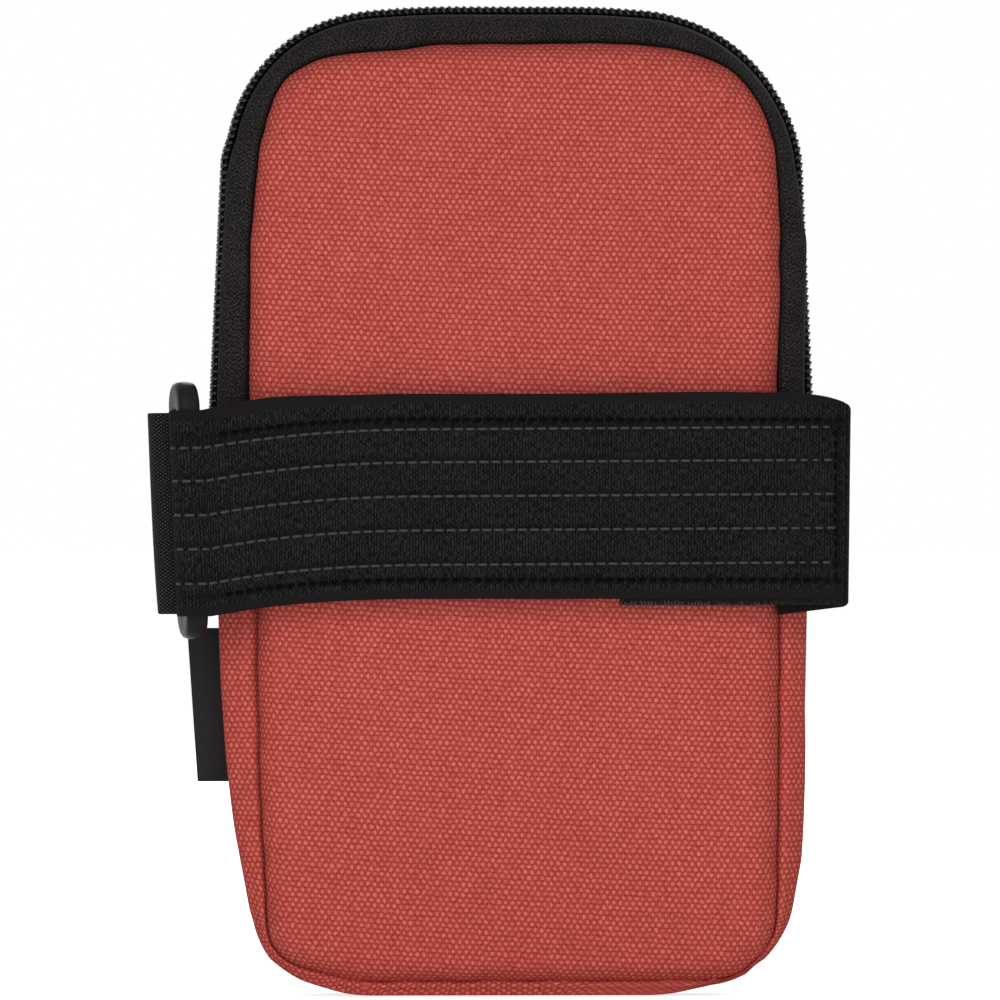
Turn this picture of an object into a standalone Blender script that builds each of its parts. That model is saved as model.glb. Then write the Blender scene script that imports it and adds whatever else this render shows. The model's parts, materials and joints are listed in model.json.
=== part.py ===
"""Padded zip pouch that straps to a bottle: two padded panels, a gusset, a coil zip and an elastic strap.

Metres, +Z up. -Y is the side with the strap, +X is to the right seen from that side.
The origin is the middle of the flat bottom that the pouch stands on.
"""
import math

import bmesh
import bpy
from mathutils import Matrix, Vector

# Clearance between pieces that are sewn or rest together, and the overrun of cuts
SEAT_GAP = 0.0003
OVERRUN = 0.001
WELD_DISTANCE = 0.000003
STRAIGHT_ANGLE = math.radians(0.05)

# Faces that meet at less than these angles are shaded as one surface
SMOOTH_DEG = 35
PADDED_SMOOTH_DEG = 50

# Body outline: half widths and heights of the panel seam and of the crest of gusset and zip
BODY_HEIGHT = 0.1886
WAIST_HEIGHT = 0.096
SEAM_HALF_WIDTH = 0.0508
SIDE_BULGE = 0.0059
BOTTOM_BULGE = 0.0028
TOP_BULGE = 0.0052
FLAT_HALF_WIDTH = 0.033
FLAT_RUN = 0.0006
SEAM_FOOT_RUN = 0.0127
CREST_FOOT_RUN = 0.0164
SEAM_SHOULDER_RUN = 0.0204
CREST_SHOULDER_RUN = 0.0249
FLANK_RUN = 0.012
CROWN_RUN = 0.008
SEAM_FOOT_SHARE = 0.953
CREST_FOOT_SHARE = 0.892
FOOT_RISE_SHARE = 0.0042
SEAM_FLANK_SHARE = 0.971
CREST_FLANK_SHARE = 0.974
FLANK_HEIGHT_SHARE = 0.40
SEAM_SHOULDER_SHARE = 0.970
CREST_SHOULDER_SHARE = 0.939
SEAM_SHOULDER_DROP = 0.0020
CREST_SHOULDER_DROP = 0.0029
CROWN_SHARE = 0.31
FLAT_STEPS = 1
FOOT_STEPS = 6
FLANK_STEPS = 2
SHOULDER_STEPS = 7
CROWN_STEPS = 2

# Padded panels: depth of the seam, crown of the padding, and the layers from outside in
SEAM_DEPTH = 0.010
CROWN = 0.0035
SHELL = 0.0010
FOAM = 0.0026
LINING = 0.0006
LINING_INSET = 0.0014
PLATEAU_SHARE = 0.55
RIM_SHARES = (0.08, 0.22)
SHELL_RIM_SHARES = (0.08, 0.22, 0.38)
SPINE_SHARE = 0.22

# Gusset round the bottom, with its lining
GUSSET_SIDE_FLAT = 0.0052
GUSSET_FOOT_FLAT = 0.0079
GUSSET_SHARES = (0, 0.33, 0.67, 1)

# Bound seam allowance inside the panel seams
BINDING_WIDTH = 0.005
BINDING_THICKNESS = 0.0016

# Coil zip: tapes, and one tooth of each row for every pitch
TAPE = 0.00055
TAPE_GAP = 0.0018
TAPE_FLAT = 0.005
TOOTH_PITCH = 0.00142
TOOTH_HEIGHT = 0.0019
NOTCH_HEIGHT = 0.0012
TOOTH_REACH = 0.00035
NOTCH_SETBACK = 0.00095
COIL_HALF_WIDTH = 0.0030
NOTCH_HALF_WIDTH = 0.0026
COIL_TOP_SHARES = (0.34, 0.72)

# Slider and its pull, parked at the foot of the right side
SLIDER_LENGTH = 0.0124
SLIDER_REST = 0.0085
SLIDER_MOUTH_HALF_WIDTH = 0.0048
SLIDER_TAIL_HALF_WIDTH = 0.0044
SLIDER_PLATE = 0.0010
SLIDER_LIP = 0.0009
SLIDER_ROOM = 0.0004
POST_HALF_WIDTH = 0.0006
POST_LENGTH = 0.0030
ARCH_LENGTH = 0.0072
ARCH_BAR = 0.0010
ARCH_HALF_WIDTH = 0.0008
PULL_THICKNESS = 0.0013
PULL_ROOM = 0.00045
PULL_HALF_WIDTH = 0.0031
PULL_EYE_HALF_WIDTH = 0.0016
PULL_LENGTH = 0.025
PULL_TIP_SHARE = 0.72
PULL_TIP_STEPS = 6

# The front panel folds outward on a line across it, this far above the waist and the parked slider
FOLD_RISE = 0.018
FOLD_HEIGHT = WAIST_HEIGHT + FOLD_RISE

# Strap: width, thickness, and the level of its middle across the pouch
STRAP_WIDTH = 0.039
ELASTIC = 0.0014
STRAP_HEIGHT = 0.0959
RING_DROP = 0.0032
ROOT_DROP = 0.0012
STRAP_STANDOFF = 0.0021
STRAP_REACH = 0.0649
STRAP_FOLD_RADIUS = 0.0017
TAIL_END_GAP = 0.0014
LOOP_TAPE = 0.0007
HOOK_TAPE = 0.0009
LOOP_TAPE_WIDTH = 0.0345
HOOK_TAPE_WIDTH = 0.0365
HOOK_LENGTH = 0.040
HOOK_OVERHANG = 0.0012
TAIL_RISE_RUN = 0.017
ROOT_STEPS = 3
FOLD_STEPS = 6
SPAN_STEPS = 8
RISE_STEPS = 5
PATCH_STEPS = 3

# Ring: round bar bent to a slot, turned a little and leaning with the strap's end
RING_BAR = 0.0042
RING_HEIGHT = 0.0492
RING_CORNER = 0.0030
RING_SLOT = 0.0041
RING_FRONT_X = 0.0614
RING_SET = 0.0015
RING_LIFT = 0.0005
RING_LEAN_DEG = 2.3
WRAP_ROOM = 0.0007
LEAN_FADE = 0.012
CORNER_STEPS = 4
BAR_RESOLUTION = 3
WRAP_STEPS = 10

# Webbing loop that ties the ring to the left seam
WEBBING = 0.0013
WEBBING_WIDTH = 0.0385
WEBBING_REACH = 0.0699

# Folded side label, sewn in the front seam on the left
LABEL_HEIGHT = 0.0290
LABEL_LEVEL = 0.0556
LABEL_REACH = 0.0612
LABEL_PLY = 0.00035
LABEL_FOLD_STEPS = 4

OBJECT_NAME = "bottle_pouch"


def clear_scene():
    """Remove what Blender opens with."""
    for obj in list(bpy.data.objects):
        bpy.data.objects.remove(obj)


def make_collection(name):
    """A collection of its own under the scene."""
    group = bpy.data.collections.new(name)
    bpy.context.scene.collection.children.link(group)
    return group


def finish(name, colour, roughness, metallic=0.0):
    """One Principled material."""
    mat = bpy.data.materials.new(name)
    mat.use_nodes = True
    shader = mat.node_tree.nodes["Principled BSDF"]
    shader.inputs["Base Color"].default_value = (*colour, 1.0)
    shader.inputs["Roughness"].default_value = roughness
    shader.inputs["Metallic"].default_value = metallic
    return mat


# Points of the outlines

def rounded_run(corners):
    """Points along straight runs, with an arc tangent to both runs at each inner corner.

    corners holds (x, z) for the ends and (x, z, run, steps) between them: the arc starts the length run
    before its corner and has the given number of steps.
    """
    points = [Vector(corners[0])]
    for before, corner, after in zip(corners, corners[1:], corners[2:]):
        middle = Vector(corner[:2])
        run, steps = corner[2:]
        to_start = (Vector(before[:2]) - middle).normalized()
        to_end = (Vector(after[:2]) - middle).normalized()
        start = middle + to_start * run
        end = middle + to_end * run
        half_turn = (math.pi - to_start.angle(to_end)) / 2
        if half_turn < STRAIGHT_ANGLE:
            points += [start.lerp(end, step / steps) for step in range(steps + 1)]
            continue
        radius = run / math.tan(half_turn)
        centre = middle + (to_start + to_end).normalized() * radius / math.cos(half_turn)
        out = (middle - centre).normalized()
        across = (end - start).normalized()
        for step in range(steps + 1):
            angle = half_turn * (2 * step / steps - 1)
            points.append(centre + (out * math.cos(angle) + across * math.sin(angle)) * radius)
    points.append(Vector(corners[-1][:2]))
    return points


def mirrored(points):
    """The same points on the left side, in reverse order."""
    return [Vector((-p.x, p.y)) for p in reversed(points)]


def shifted(points, distance, closed=False):
    """An outline moved outward, or inward by a negative distance; the points run anticlockwise."""
    count = len(points)
    moved = []
    for i, point in enumerate(points):
        if closed:
            before, after = points[i - 1], points[(i + 1) % count]
        else:
            before, after = points[max(i - 1, 0)], points[min(i + 1, count - 1)]
        if not closed and i == 0 and abs(point.x) < SEAT_GAP:
            direction = Vector((1, 0))
        else:
            direction = (after - before).normalized()
        moved.append(point + Vector((direction.y, -direction.x)) * distance)
    return moved


def lower_half(foot_share, flank_share, waist, bottom, foot_rise, foot_run):
    """Right half of an outline, from the middle of the bottom up to the waist."""
    return rounded_run([
        (0, bottom),
        (FLAT_HALF_WIDTH, bottom, FLAT_RUN, FLAT_STEPS),
        (waist * foot_share, bottom + foot_rise, foot_run, FOOT_STEPS),
        (waist * flank_share, WAIST_HEIGHT * FLANK_HEIGHT_SHARE, FLANK_RUN, FLANK_STEPS),
        (waist, WAIST_HEIGHT),
    ])


def upper_half(shoulder_share, waist, top, shoulder_drop, shoulder_run):
    """Right half of an outline, from the waist up to the middle of the top."""
    return rounded_run([
        (waist, WAIST_HEIGHT),
        (waist * shoulder_share, top - shoulder_drop, shoulder_run, SHOULDER_STEPS),
        (waist * CROWN_SHARE, top, CROWN_RUN, CROWN_STEPS),
        (0, top),
    ])


CREST_HALF_WIDTH = SEAM_HALF_WIDTH + SIDE_BULGE
FOOT_RISE = FOOT_RISE_SHARE * BODY_HEIGHT
SEAM_LOWER = lower_half(SEAM_FOOT_SHARE, SEAM_FLANK_SHARE, SEAM_HALF_WIDTH, BOTTOM_BULGE, 0, SEAM_FOOT_RUN)
CREST_LOWER = lower_half(CREST_FOOT_SHARE, CREST_FLANK_SHARE, CREST_HALF_WIDTH, 0, FOOT_RISE, CREST_FOOT_RUN)
SEAM_UPPER = upper_half(SEAM_SHOULDER_SHARE, SEAM_HALF_WIDTH, BODY_HEIGHT - TOP_BULGE,
                        SEAM_SHOULDER_DROP, SEAM_SHOULDER_RUN)
CREST_UPPER = upper_half(CREST_SHOULDER_SHARE, CREST_HALF_WIDTH, BODY_HEIGHT,
                         CREST_SHOULDER_DROP, CREST_SHOULDER_RUN)
SEAM_RIGHT = SEAM_LOWER + SEAM_UPPER[1:]
SEAM_OUTLINE = SEAM_RIGHT + mirrored(SEAM_RIGHT)[1:-1]


# Meshes

def add_object(name, mesh, group, material):
    """An object for a mesh, in its collection, with its material."""
    obj = bpy.data.objects.new(name, mesh)
    group.objects.link(obj)
    if material:
        mesh.materials.append(material)
    return obj


def loft(name, rows, group, material, across=False, capped=False, smooth_deg=SMOOTH_DEG):
    """Skin over rows of points. across closes each row on itself, capped closes the first and last row."""
    bm = bmesh.new()
    grid = [[bm.verts.new(point) for point in row] for row in rows]
    width = len(rows[0])
    for near, far in zip(grid, grid[1:]):
        for j in range(width if across else width - 1):
            k = (j + 1) % width
            bm.faces.new((near[j], near[k], far[k], far[j]))
    if capped:
        bm.faces.new(list(reversed(grid[0])))
        bm.faces.new(grid[-1])
        bmesh.ops.recalc_face_normals(bm, faces=bm.faces)
    return from_bmesh(name, bm, group, material, smooth_deg)


def ring_loft(name, loops, group, material):
    """Closed tube between closed loops, the last joined to the first."""
    bm = bmesh.new()
    grid = [[bm.verts.new(point) for point in loop] for loop in loops]
    count = len(loops[0])
    for near, far in zip(grid, grid[1:] + grid[:1]):
        for j in range(count):
            k = (j + 1) % count
            bm.faces.new((near[j], near[k], far[k], far[j]))
    bmesh.ops.recalc_face_normals(bm, faces=bm.faces)
    return from_bmesh(name, bm, group, material, SMOOTH_DEG)


def from_bmesh(name, bm, group, material, smooth_deg):
    """Turn a bmesh into an object, round faces shaded smooth."""
    mesh = bpy.data.meshes.new(name)
    bm.to_mesh(mesh)
    bm.free()
    mesh.shade_smooth()
    mesh.set_sharp_from_angle(angle=math.radians(smooth_deg))
    return add_object(name, mesh, group, material)


def solidify(obj, thickness, offset):
    """Give a sheet its thickness: offset -1 goes against its normals, 0 goes both ways."""
    mod = obj.modifiers.new("thickness", "SOLIDIFY")
    mod.thickness = thickness
    mod.offset = offset
    mod.use_even_offset = True
    return obj


def keep_part(obj, low, high):
    """Cut a closed solid at two heights and close the cuts; None leaves a side uncut."""
    bm = bmesh.new()
    bm.from_mesh(obj.data)
    for height, side in ((low, -1), (high, 1)):
        if height is None:
            continue
        cut = bmesh.ops.bisect_plane(bm, geom=bm.verts[:] + bm.edges[:] + bm.faces[:],
                                     plane_co=(0, 0, height), plane_no=(0, 0, side), clear_outer=True)
        rim = [e for e in cut["geom_cut"] if isinstance(e, bmesh.types.BMEdge)]
        bmesh.ops.holes_fill(bm, edges=rim, sides=0)
    bmesh.ops.recalc_face_normals(bm, faces=bm.faces)
    bm.to_mesh(obj.data)
    bm.free()
    return obj


def plate(name, outlines, half_thickness, place, group, material):
    """Flat plate: a filled 2D curve, extruded both ways, made a mesh and moved to its place in the mesh."""
    curve = bpy.data.curves.new(name + "_outline", "CURVE")
    curve.dimensions = "2D"
    curve.fill_mode = "BOTH"
    curve.extrude = half_thickness
    for outline in outlines:
        spline = curve.splines.new("POLY")
        spline.points.add(len(outline) - 1)
        for point, (x, y) in zip(spline.points, outline):
            point.co = (x, y, 0, 1)
        spline.use_cyclic_u = True
    guide = bpy.data.objects.new(name + "_outline", curve)
    bpy.context.scene.collection.objects.link(guide)
    bpy.context.view_layer.update()
    depsgraph = bpy.context.evaluated_depsgraph_get()
    mesh = bpy.data.meshes.new_from_object(guide.evaluated_get(depsgraph))
    bpy.data.objects.remove(guide)
    mesh.name = name
    bm = bmesh.new()
    bm.from_mesh(mesh)
    bmesh.ops.remove_doubles(bm, verts=bm.verts, dist=WELD_DISTANCE)
    bmesh.ops.transform(bm, matrix=place, verts=bm.verts)
    bm.to_mesh(mesh)
    bm.free()
    return add_object(name, mesh, group, material)


def box(name, low, high, group):
    """Block between two corners."""
    bm = bmesh.new()
    bmesh.ops.create_cube(bm, size=1)
    size = [b - a for a, b in zip(low, high)]
    middle = [(a + b) / 2 for a, b in zip(low, high)]
    bmesh.ops.scale(bm, vec=size, verts=bm.verts)
    bmesh.ops.translate(bm, vec=middle, verts=bm.verts)
    mesh = bpy.data.meshes.new(name)
    bm.to_mesh(mesh)
    bm.free()
    return add_object(name, mesh, group, None)


def combine(obj, other, operation):
    """Boolean with another object, which stays as a hidden guide."""
    mod = obj.modifiers.new(other.name, "BOOLEAN")
    mod.operation = operation
    mod.solver = "EXACT"
    mod.object = other
    other.display_type = "WIRE"
    other.hide_render = True


def settle(obj, frame):
    """Apply the cuts in the piece's own axes, where their faces line up, then move it with its guides."""
    bpy.context.view_layer.update()
    depsgraph = bpy.context.evaluated_depsgraph_get()
    mesh = bpy.data.meshes.new_from_object(obj.evaluated_get(depsgraph))
    guides = [mod.object for mod in obj.modifiers]
    obj.modifiers.clear()
    obj.data = mesh
    for moved in [obj] + guides:
        moved.matrix_world = frame


# Padded panels

def panel_ring(outline, share, level):
    """The outline drawn in toward the panel's upright middle line, at one depth."""
    low = BOTTOM_BULGE + BODY_HEIGHT * SPINE_SHARE
    high = BODY_HEIGHT - TOP_BULGE - BODY_HEIGHT * SPINE_SHARE
    ring = []
    for point in outline:
        spine = Vector((0, min(max(point.y, low), high)))
        drawn = point.lerp(spine, share)
        ring.append(Vector((drawn.x, level, drawn.y)))
    return ring


def swell(share):
    """Height of the padding over the seam, from 0 at the rim to 1 on the plateau."""
    return 1 - (1 - min(share / PLATEAU_SHARE, 1)) ** 2


def padded_layer(name, outline, rim_shares, outer, inner, side, group, material):
    """One layer of a panel: outer and inner are (level at the seam, crown) of its two faces."""
    shares = [*rim_shares, PLATEAU_SHARE]
    loops = [panel_ring(outline, s, side * (outer[0] + outer[1] * swell(s))) for s in reversed(shares)]
    loops += [panel_ring(outline, s, side * (inner[0] + inner[1] * swell(s))) for s in shares]
    return loft(name, loops, group, material, across=True, capped=True, smooth_deg=PADDED_SMOOTH_DEG)


def panel_layers(names, side, group, red, white, grey):
    """Shell, foam and lining of one side, from the seam's depth inward."""
    shell_inner = SEAM_DEPTH - SHELL
    lining_outer = shell_inner - SEAT_GAP
    lining_crown = CROWN - FOAM - SEAT_GAP
    inset = shifted(SEAM_OUTLINE, -LINING_INSET, closed=True)
    padded_layer(names[0], SEAM_OUTLINE, (0, *SHELL_RIM_SHARES), (SEAM_DEPTH, CROWN), (shell_inner, CROWN),
                 side, group, red)
    padded_layer(names[1], SEAM_OUTLINE, RIM_SHARES, (shell_inner - SEAT_GAP, CROWN),
                 (lining_outer + SEAT_GAP, lining_crown), side, group, white)
    padded_layer(names[2], inset, (0, *RIM_SHARES), (lining_outer, lining_crown),
                 (lining_outer - LINING, lining_crown), side, group, grey)


def binding(name, side, group, material):
    """Bound seam allowance, a flat band along the inside of the panel seam."""
    outer = side * (SEAM_DEPTH - SHELL - LINING - 3 * SEAT_GAP)
    inner = outer - side * BINDING_THICKNESS
    near = SHELL + LINING + 2 * SEAT_GAP
    edge = shifted(SEAM_OUTLINE, -near, closed=True)
    reach = shifted(SEAM_OUTLINE, -near - BINDING_WIDTH, closed=True)
    loops = [[Vector((p.x, y, p.y)) for p in line]
             for line, y in ((edge, outer), (reach, outer), (reach, inner), (edge, inner))]
    return ring_loft(name, loops, group, material)


# Gusset and zip tapes

def bulge_point(seam, crest, y_edge, y_flat, share, side):
    """A point on the quarter round from the seam up to the flat crest."""
    angle = math.radians(90) * share
    rise = math.sin(angle)
    y = y_flat + (y_edge - y_flat) * math.cos(angle)
    point = seam.lerp(crest, rise)
    return Vector((point.x, side * y, point.y))


def gusset_rows(inset, y_edge):
    """Cross sections of the gusset from the left waist, round the bottom, to the right waist."""
    seam = shifted(mirrored(SEAM_LOWER) + SEAM_LOWER[1:], -inset)
    crest = shifted(mirrored(CREST_LOWER) + CREST_LOWER[1:], -inset)
    middle = len(CREST_LOWER) - 1
    rows = []
    for i, (a, b) in enumerate(zip(seam, crest)):
        station = abs(i - middle)
        side_share = min(max((station - FLAT_STEPS - 1) / FOOT_STEPS, 0), 1)
        flat = GUSSET_FOOT_FLAT + (GUSSET_SIDE_FLAT - GUSSET_FOOT_FLAT) * side_share
        flat -= (SEAM_DEPTH - SHELL - SEAT_GAP) - y_edge
        left = [bulge_point(a, b, y_edge, flat, s, -1) for s in GUSSET_SHARES]
        right = [bulge_point(a, b, y_edge, flat, s, 1) for s in reversed(GUSSET_SHARES)]
        rows.append(left + right)
    return rows


def gusset(group, red, grey):
    """The outer gusset and its lining, each a sheet with a thickness."""
    edge = SEAM_DEPTH - SHELL - SEAT_GAP
    solidify(loft("gusset", gusset_rows(0, edge), group, red), SHELL, -1)
    lining_edge = edge - SHELL - SEAT_GAP
    lining = loft("gusset_lining", gusset_rows(SHELL + SEAT_GAP, lining_edge), group, grey)
    solidify(lining, LINING, -1)


def tape_rows(side):
    """Cross sections of one tape along the zip, from the right waist to the left waist."""
    seam = SEAM_UPPER + mirrored(SEAM_UPPER)[1:]
    crest = CREST_UPPER + mirrored(CREST_UPPER)[1:]
    edge = SEAM_DEPTH - SHELL - SEAT_GAP
    rows = []
    for a, b in zip(seam, crest):
        row = [bulge_point(a, b, edge, TAPE_FLAT, s, side) for s in GUSSET_SHARES]
        row.append(Vector((b.x, side * TAPE_GAP / 2, b.y)))
        rows.append(row if side < 0 else list(reversed(row)))
    return rows


def tape(name, side, group, material, *cuts):
    """One zip tape, or a stretch of it: cuts holds (point, direction) pairs, what lies past each goes."""
    obj = loft(name, tape_rows(side), group, material)
    bm = bmesh.new()
    bm.from_mesh(obj.data)
    for place, way in cuts:
        bmesh.ops.bisect_plane(bm, geom=bm.verts[:] + bm.edges[:] + bm.faces[:],
                               plane_co=place, plane_no=way, clear_outer=True)
    bm.to_mesh(obj.data)
    bm.free()
    return solidify(obj, TAPE, -1)


# Zip teeth

def zip_line():
    """The line of the zip on the tapes' crest, from the right waist over the top to the left waist."""
    return CREST_UPPER + mirrored(CREST_UPPER)[1:]


def walk(points, step):
    """Points and outward normals at equal steps along a line."""
    lengths = [(b - a).length for a, b in zip(points, points[1:])]
    count = int(sum(lengths) / step)
    places = []
    index = 0
    passed = 0.0
    for k in range(count + 1):
        target = k * step
        while index < len(lengths) - 1 and passed + lengths[index] < target:
            passed += lengths[index]
            index += 1
        share = (target - passed) / lengths[index]
        way = (points[index + 1] - points[index]).normalized()
        places.append((points[index].lerp(points[index + 1], share), Vector((way.y, -way.x))))
    return places


def tooth_section(place, normal, side, tooth):
    """Cross section of a row of teeth, at a tooth or at the notch between two."""
    base = SEAT_GAP
    top = TOOTH_HEIGHT if tooth else NOTCH_HEIGHT
    inner = -TOOTH_REACH if tooth else NOTCH_SETBACK
    outer = COIL_HALF_WIDTH if tooth else NOTCH_HALF_WIDTH
    crown = [inner + (outer - inner) * share for share in COIL_TOP_SHARES]
    corners = [(inner, base), (crown[0], top), (crown[1], top), (outer, base)]
    return [Vector((place.x + normal.x * n, side * y, place.y + normal.y * n)) for y, n in corners]


def teeth(name, side, group, material, keep):
    """One row of teeth; keep says which stations of the zip's line belong to it."""
    line = walk(zip_line(), TOOTH_PITCH / 2)
    rows = []
    for k, (place, normal) in enumerate(line):
        if keep(k, len(line), place):
            tooth = (k % 2 == 0) == (side > 0)
            rows.append(tooth_section(place, normal, side, tooth))
    return loft(name, rows, group, material, across=True, capped=True)


# Slider and pull

def slider_frame():
    """Local frame of the parked slider: x across the zip, y up along it, z out of the pouch."""
    start = CREST_UPPER[0]
    up = (CREST_UPPER[1] - start).normalized()
    place = start + up * SLIDER_REST
    along = Vector((up.x, 0, up.y))
    out = Vector((up.y, 0, -up.x))
    frame = Matrix((Vector((0, 1, 0)), along, out)).transposed().to_4x4()
    frame.translation = Vector((place.x, 0, place.y))
    return frame


def slider(group, cutters, material):
    """Slider body: a block with the teeth's channel and the tapes' slots cut through it, and an arch."""
    half = SLIDER_LENGTH / 2
    ceiling = TOOTH_HEIGHT + SLIDER_ROOM
    top = ceiling + SLIDER_PLATE
    floor = -TAPE - SLIDER_ROOM
    bottom = floor - SLIDER_PLATE
    chamfer = SLIDER_LIP
    outline = [(-SLIDER_MOUTH_HALF_WIDTH, -half + chamfer), (-SLIDER_MOUTH_HALF_WIDTH + chamfer, -half),
               (SLIDER_MOUTH_HALF_WIDTH - chamfer, -half), (SLIDER_MOUTH_HALF_WIDTH, -half + chamfer),
               (SLIDER_TAIL_HALF_WIDTH, half - chamfer), (SLIDER_TAIL_HALF_WIDTH - chamfer, half),
               (chamfer - SLIDER_TAIL_HALF_WIDTH, half), (-SLIDER_TAIL_HALF_WIDTH, half - chamfer)]
    middle = Matrix.Translation((0, 0, (top + bottom) / 2))
    body = plate("slider_body", [outline], (top - bottom) / 2, middle, group, material)
    arch_top = top + 2 * PULL_ROOM + PULL_THICKNESS + ARCH_BAR
    arch_half = ARCH_LENGTH / 2
    turn = Matrix(((0, 0, 1, 0), (1, 0, 0, 0), (0, 1, 0, 0), (0, 0, 0, 1)))
    arch_outline = [(-arch_half, top - SLIDER_PLATE / 2), (arch_half, top - SLIDER_PLATE / 2),
                    (arch_half, arch_top - ARCH_BAR), (arch_half - ARCH_BAR, arch_top),
                    (ARCH_BAR - arch_half, arch_top), (-arch_half, arch_top - ARCH_BAR)]
    eye = [(-arch_half + ARCH_BAR, top), (arch_half - ARCH_BAR, top),
           (arch_half - ARCH_BAR, arch_top - ARCH_BAR), (ARCH_BAR - arch_half, arch_top - ARCH_BAR)]
    arch = plate("slider_arch", [arch_outline], ARCH_HALF_WIDTH, turn, cutters, None)
    combine(body, arch, "UNION")
    window = plate("slider_window", [eye], ARCH_HALF_WIDTH + OVERRUN, turn, cutters, None)
    combine(body, window, "DIFFERENCE")
    channel = COIL_HALF_WIDTH + SEAT_GAP
    over = half + OVERRUN
    wide = SLIDER_MOUTH_HALF_WIDTH + OVERRUN
    slot_top = SLIDER_ROOM
    for side in (-1, 1):
        room = sorted((side * POST_HALF_WIDTH, side * channel))
        combine(body, box(f"teeth_channel_{side}", (room[0], -over, floor), (room[1], over, ceiling),
                          cutters), "DIFFERENCE")
        slot = sorted((side * POST_HALF_WIDTH, side * wide))
        combine(body, box(f"tape_slot_{side}", (slot[0], -over, floor), (slot[1], over, slot_top),
                          cutters), "DIFFERENCE")
    post_top = -half + POST_LENGTH
    combine(body, box("meshed_channel", (-channel, post_top, floor), (channel, over, ceiling),
                      cutters), "DIFFERENCE")
    settle(body, slider_frame())
    return body


def pull_axis():
    """The pull's hinge: its distance out of the tapes and along the slider from its middle."""
    out = TOOTH_HEIGHT + SLIDER_ROOM + SLIDER_PLATE + PULL_ROOM + PULL_THICKNESS / 2
    half_bar = PULL_THICKNESS / math.sqrt(2)
    along = -ARCH_LENGTH / 2 + ARCH_BAR + half_bar + SEAT_GAP
    return out, along


def pull(group, material):
    """Pull tab that hangs from the arch: a cross bar, an eye round the arch, and a tapered tab."""
    out, along = pull_axis()
    bar = PULL_THICKNESS / 2
    eye_length = ARCH_LENGTH + 2 * SEAT_GAP
    tip = PULL_HALF_WIDTH * PULL_TIP_SHARE
    shoulder = bar - eye_length - PULL_HALF_WIDTH
    outline = [(-PULL_HALF_WIDTH, bar), (-PULL_HALF_WIDTH, shoulder), (-tip, -PULL_LENGTH + tip)]
    for step in range(1, PULL_TIP_STEPS):
        angle = math.pi * (1 + step / PULL_TIP_STEPS)
        outline.append((tip * math.cos(angle), -PULL_LENGTH + tip + tip * math.sin(angle)))
    outline += [(tip, -PULL_LENGTH + tip), (PULL_HALF_WIDTH, shoulder), (PULL_HALF_WIDTH, bar)]
    eye = [(-PULL_EYE_HALF_WIDTH, -bar), (PULL_EYE_HALF_WIDTH, -bar),
           (PULL_EYE_HALF_WIDTH, -eye_length), (-PULL_EYE_HALF_WIDTH, -eye_length)]
    tab = plate("pull_tab", [outline, eye], bar, Matrix.Identity(4), group, material)
    tab.matrix_world = slider_frame() @ Matrix.Translation((0, along, out))
    return tab


# Strap, ring and webbing

LEAN = math.tan(math.radians(RING_LEAN_DEG))
PANEL_FACE = SEAM_DEPTH + CROWN
UNDER_Y = -(PANEL_FACE + STRAP_STANDOFF + ELASTIC / 2)
RING_HALF_BAR = RING_BAR / 2
WRAP_RADIUS = (RING_BAR + SEAT_GAP + WRAP_ROOM + ELASTIC) / 2
WRAP_Y = UNDER_Y - WRAP_RADIUS
WRAP_X = -RING_FRONT_X - RING_HALF_BAR - SEAT_GAP - ELASTIC / 2 + WRAP_RADIUS
RING_FRONT_Y = WRAP_Y - (WRAP_ROOM - SEAT_GAP) / 2
RING_REAR_X = -RING_FRONT_X - RING_SET
RING_REAR_Y = RING_FRONT_Y + math.sqrt((RING_SLOT + RING_BAR) ** 2 - RING_SET ** 2)
TAIL_START_Y = WRAP_Y - WRAP_RADIUS
ROOT_LOOP_Y = UNDER_Y - ELASTIC / 2 - SEAT_GAP - LOOP_TAPE / 2
HOOK_Y = ROOT_LOOP_Y - LOOP_TAPE / 2 - SEAT_GAP - HOOK_TAPE / 2
TAIL_Y = HOOK_Y - HOOK_TAPE / 2 - SEAT_GAP - ELASTIC / 2


def ease(share):
    """Smooth step from 0 to 1."""
    share = min(max(share, 0), 1)
    return share * share * (3 - 2 * share)


def strap_middle(x):
    """Height of the strap's middle line: it drops to the ring and a little to its root."""
    left = ease((-x - SEAM_HALF_WIDTH * CROWN_SHARE) / (RING_FRONT_X - SEAM_HALF_WIDTH * CROWN_SHARE))
    right = ease((x - SEAM_HALF_WIDTH * CROWN_SHARE) / (STRAP_REACH - SEAM_HALF_WIDTH * CROWN_SHARE))
    return STRAP_HEIGHT - RING_DROP * left - ROOT_DROP * right


def lean_at(x):
    """How much of the ring's lean a point of the strap takes, from 0 on the panel to 1 at the ring."""
    return ease((-x - (RING_FRONT_X - RING_BAR - LEAN_FADE)) / LEAN_FADE)


def ribbon(name, route, width, thickness, group, material, level=None, drop=0.0):
    """A flat band on edge along a route of (x, y) points, at the strap's height or at one level."""
    rows = []
    for x, y in route:
        middle = (strap_middle(x) if level is None else level) - drop
        shift = LEAN * lean_at(x)
        rows.append([Vector((x - shift * dz, y, middle + dz)) for dz in (-width / 2, width / 2)])
    return solidify(loft(name, rows, group, material), thickness, 0)


def arc(centre, radius, start_deg, end_deg, steps):
    """Points of an arc in plan."""
    points = []
    for step in range(steps + 1):
        angle = math.radians(start_deg + (end_deg - start_deg) * step / steps)
        points.append((centre[0] + radius * math.cos(angle), centre[1] + radius * math.sin(angle)))
    return points


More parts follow.
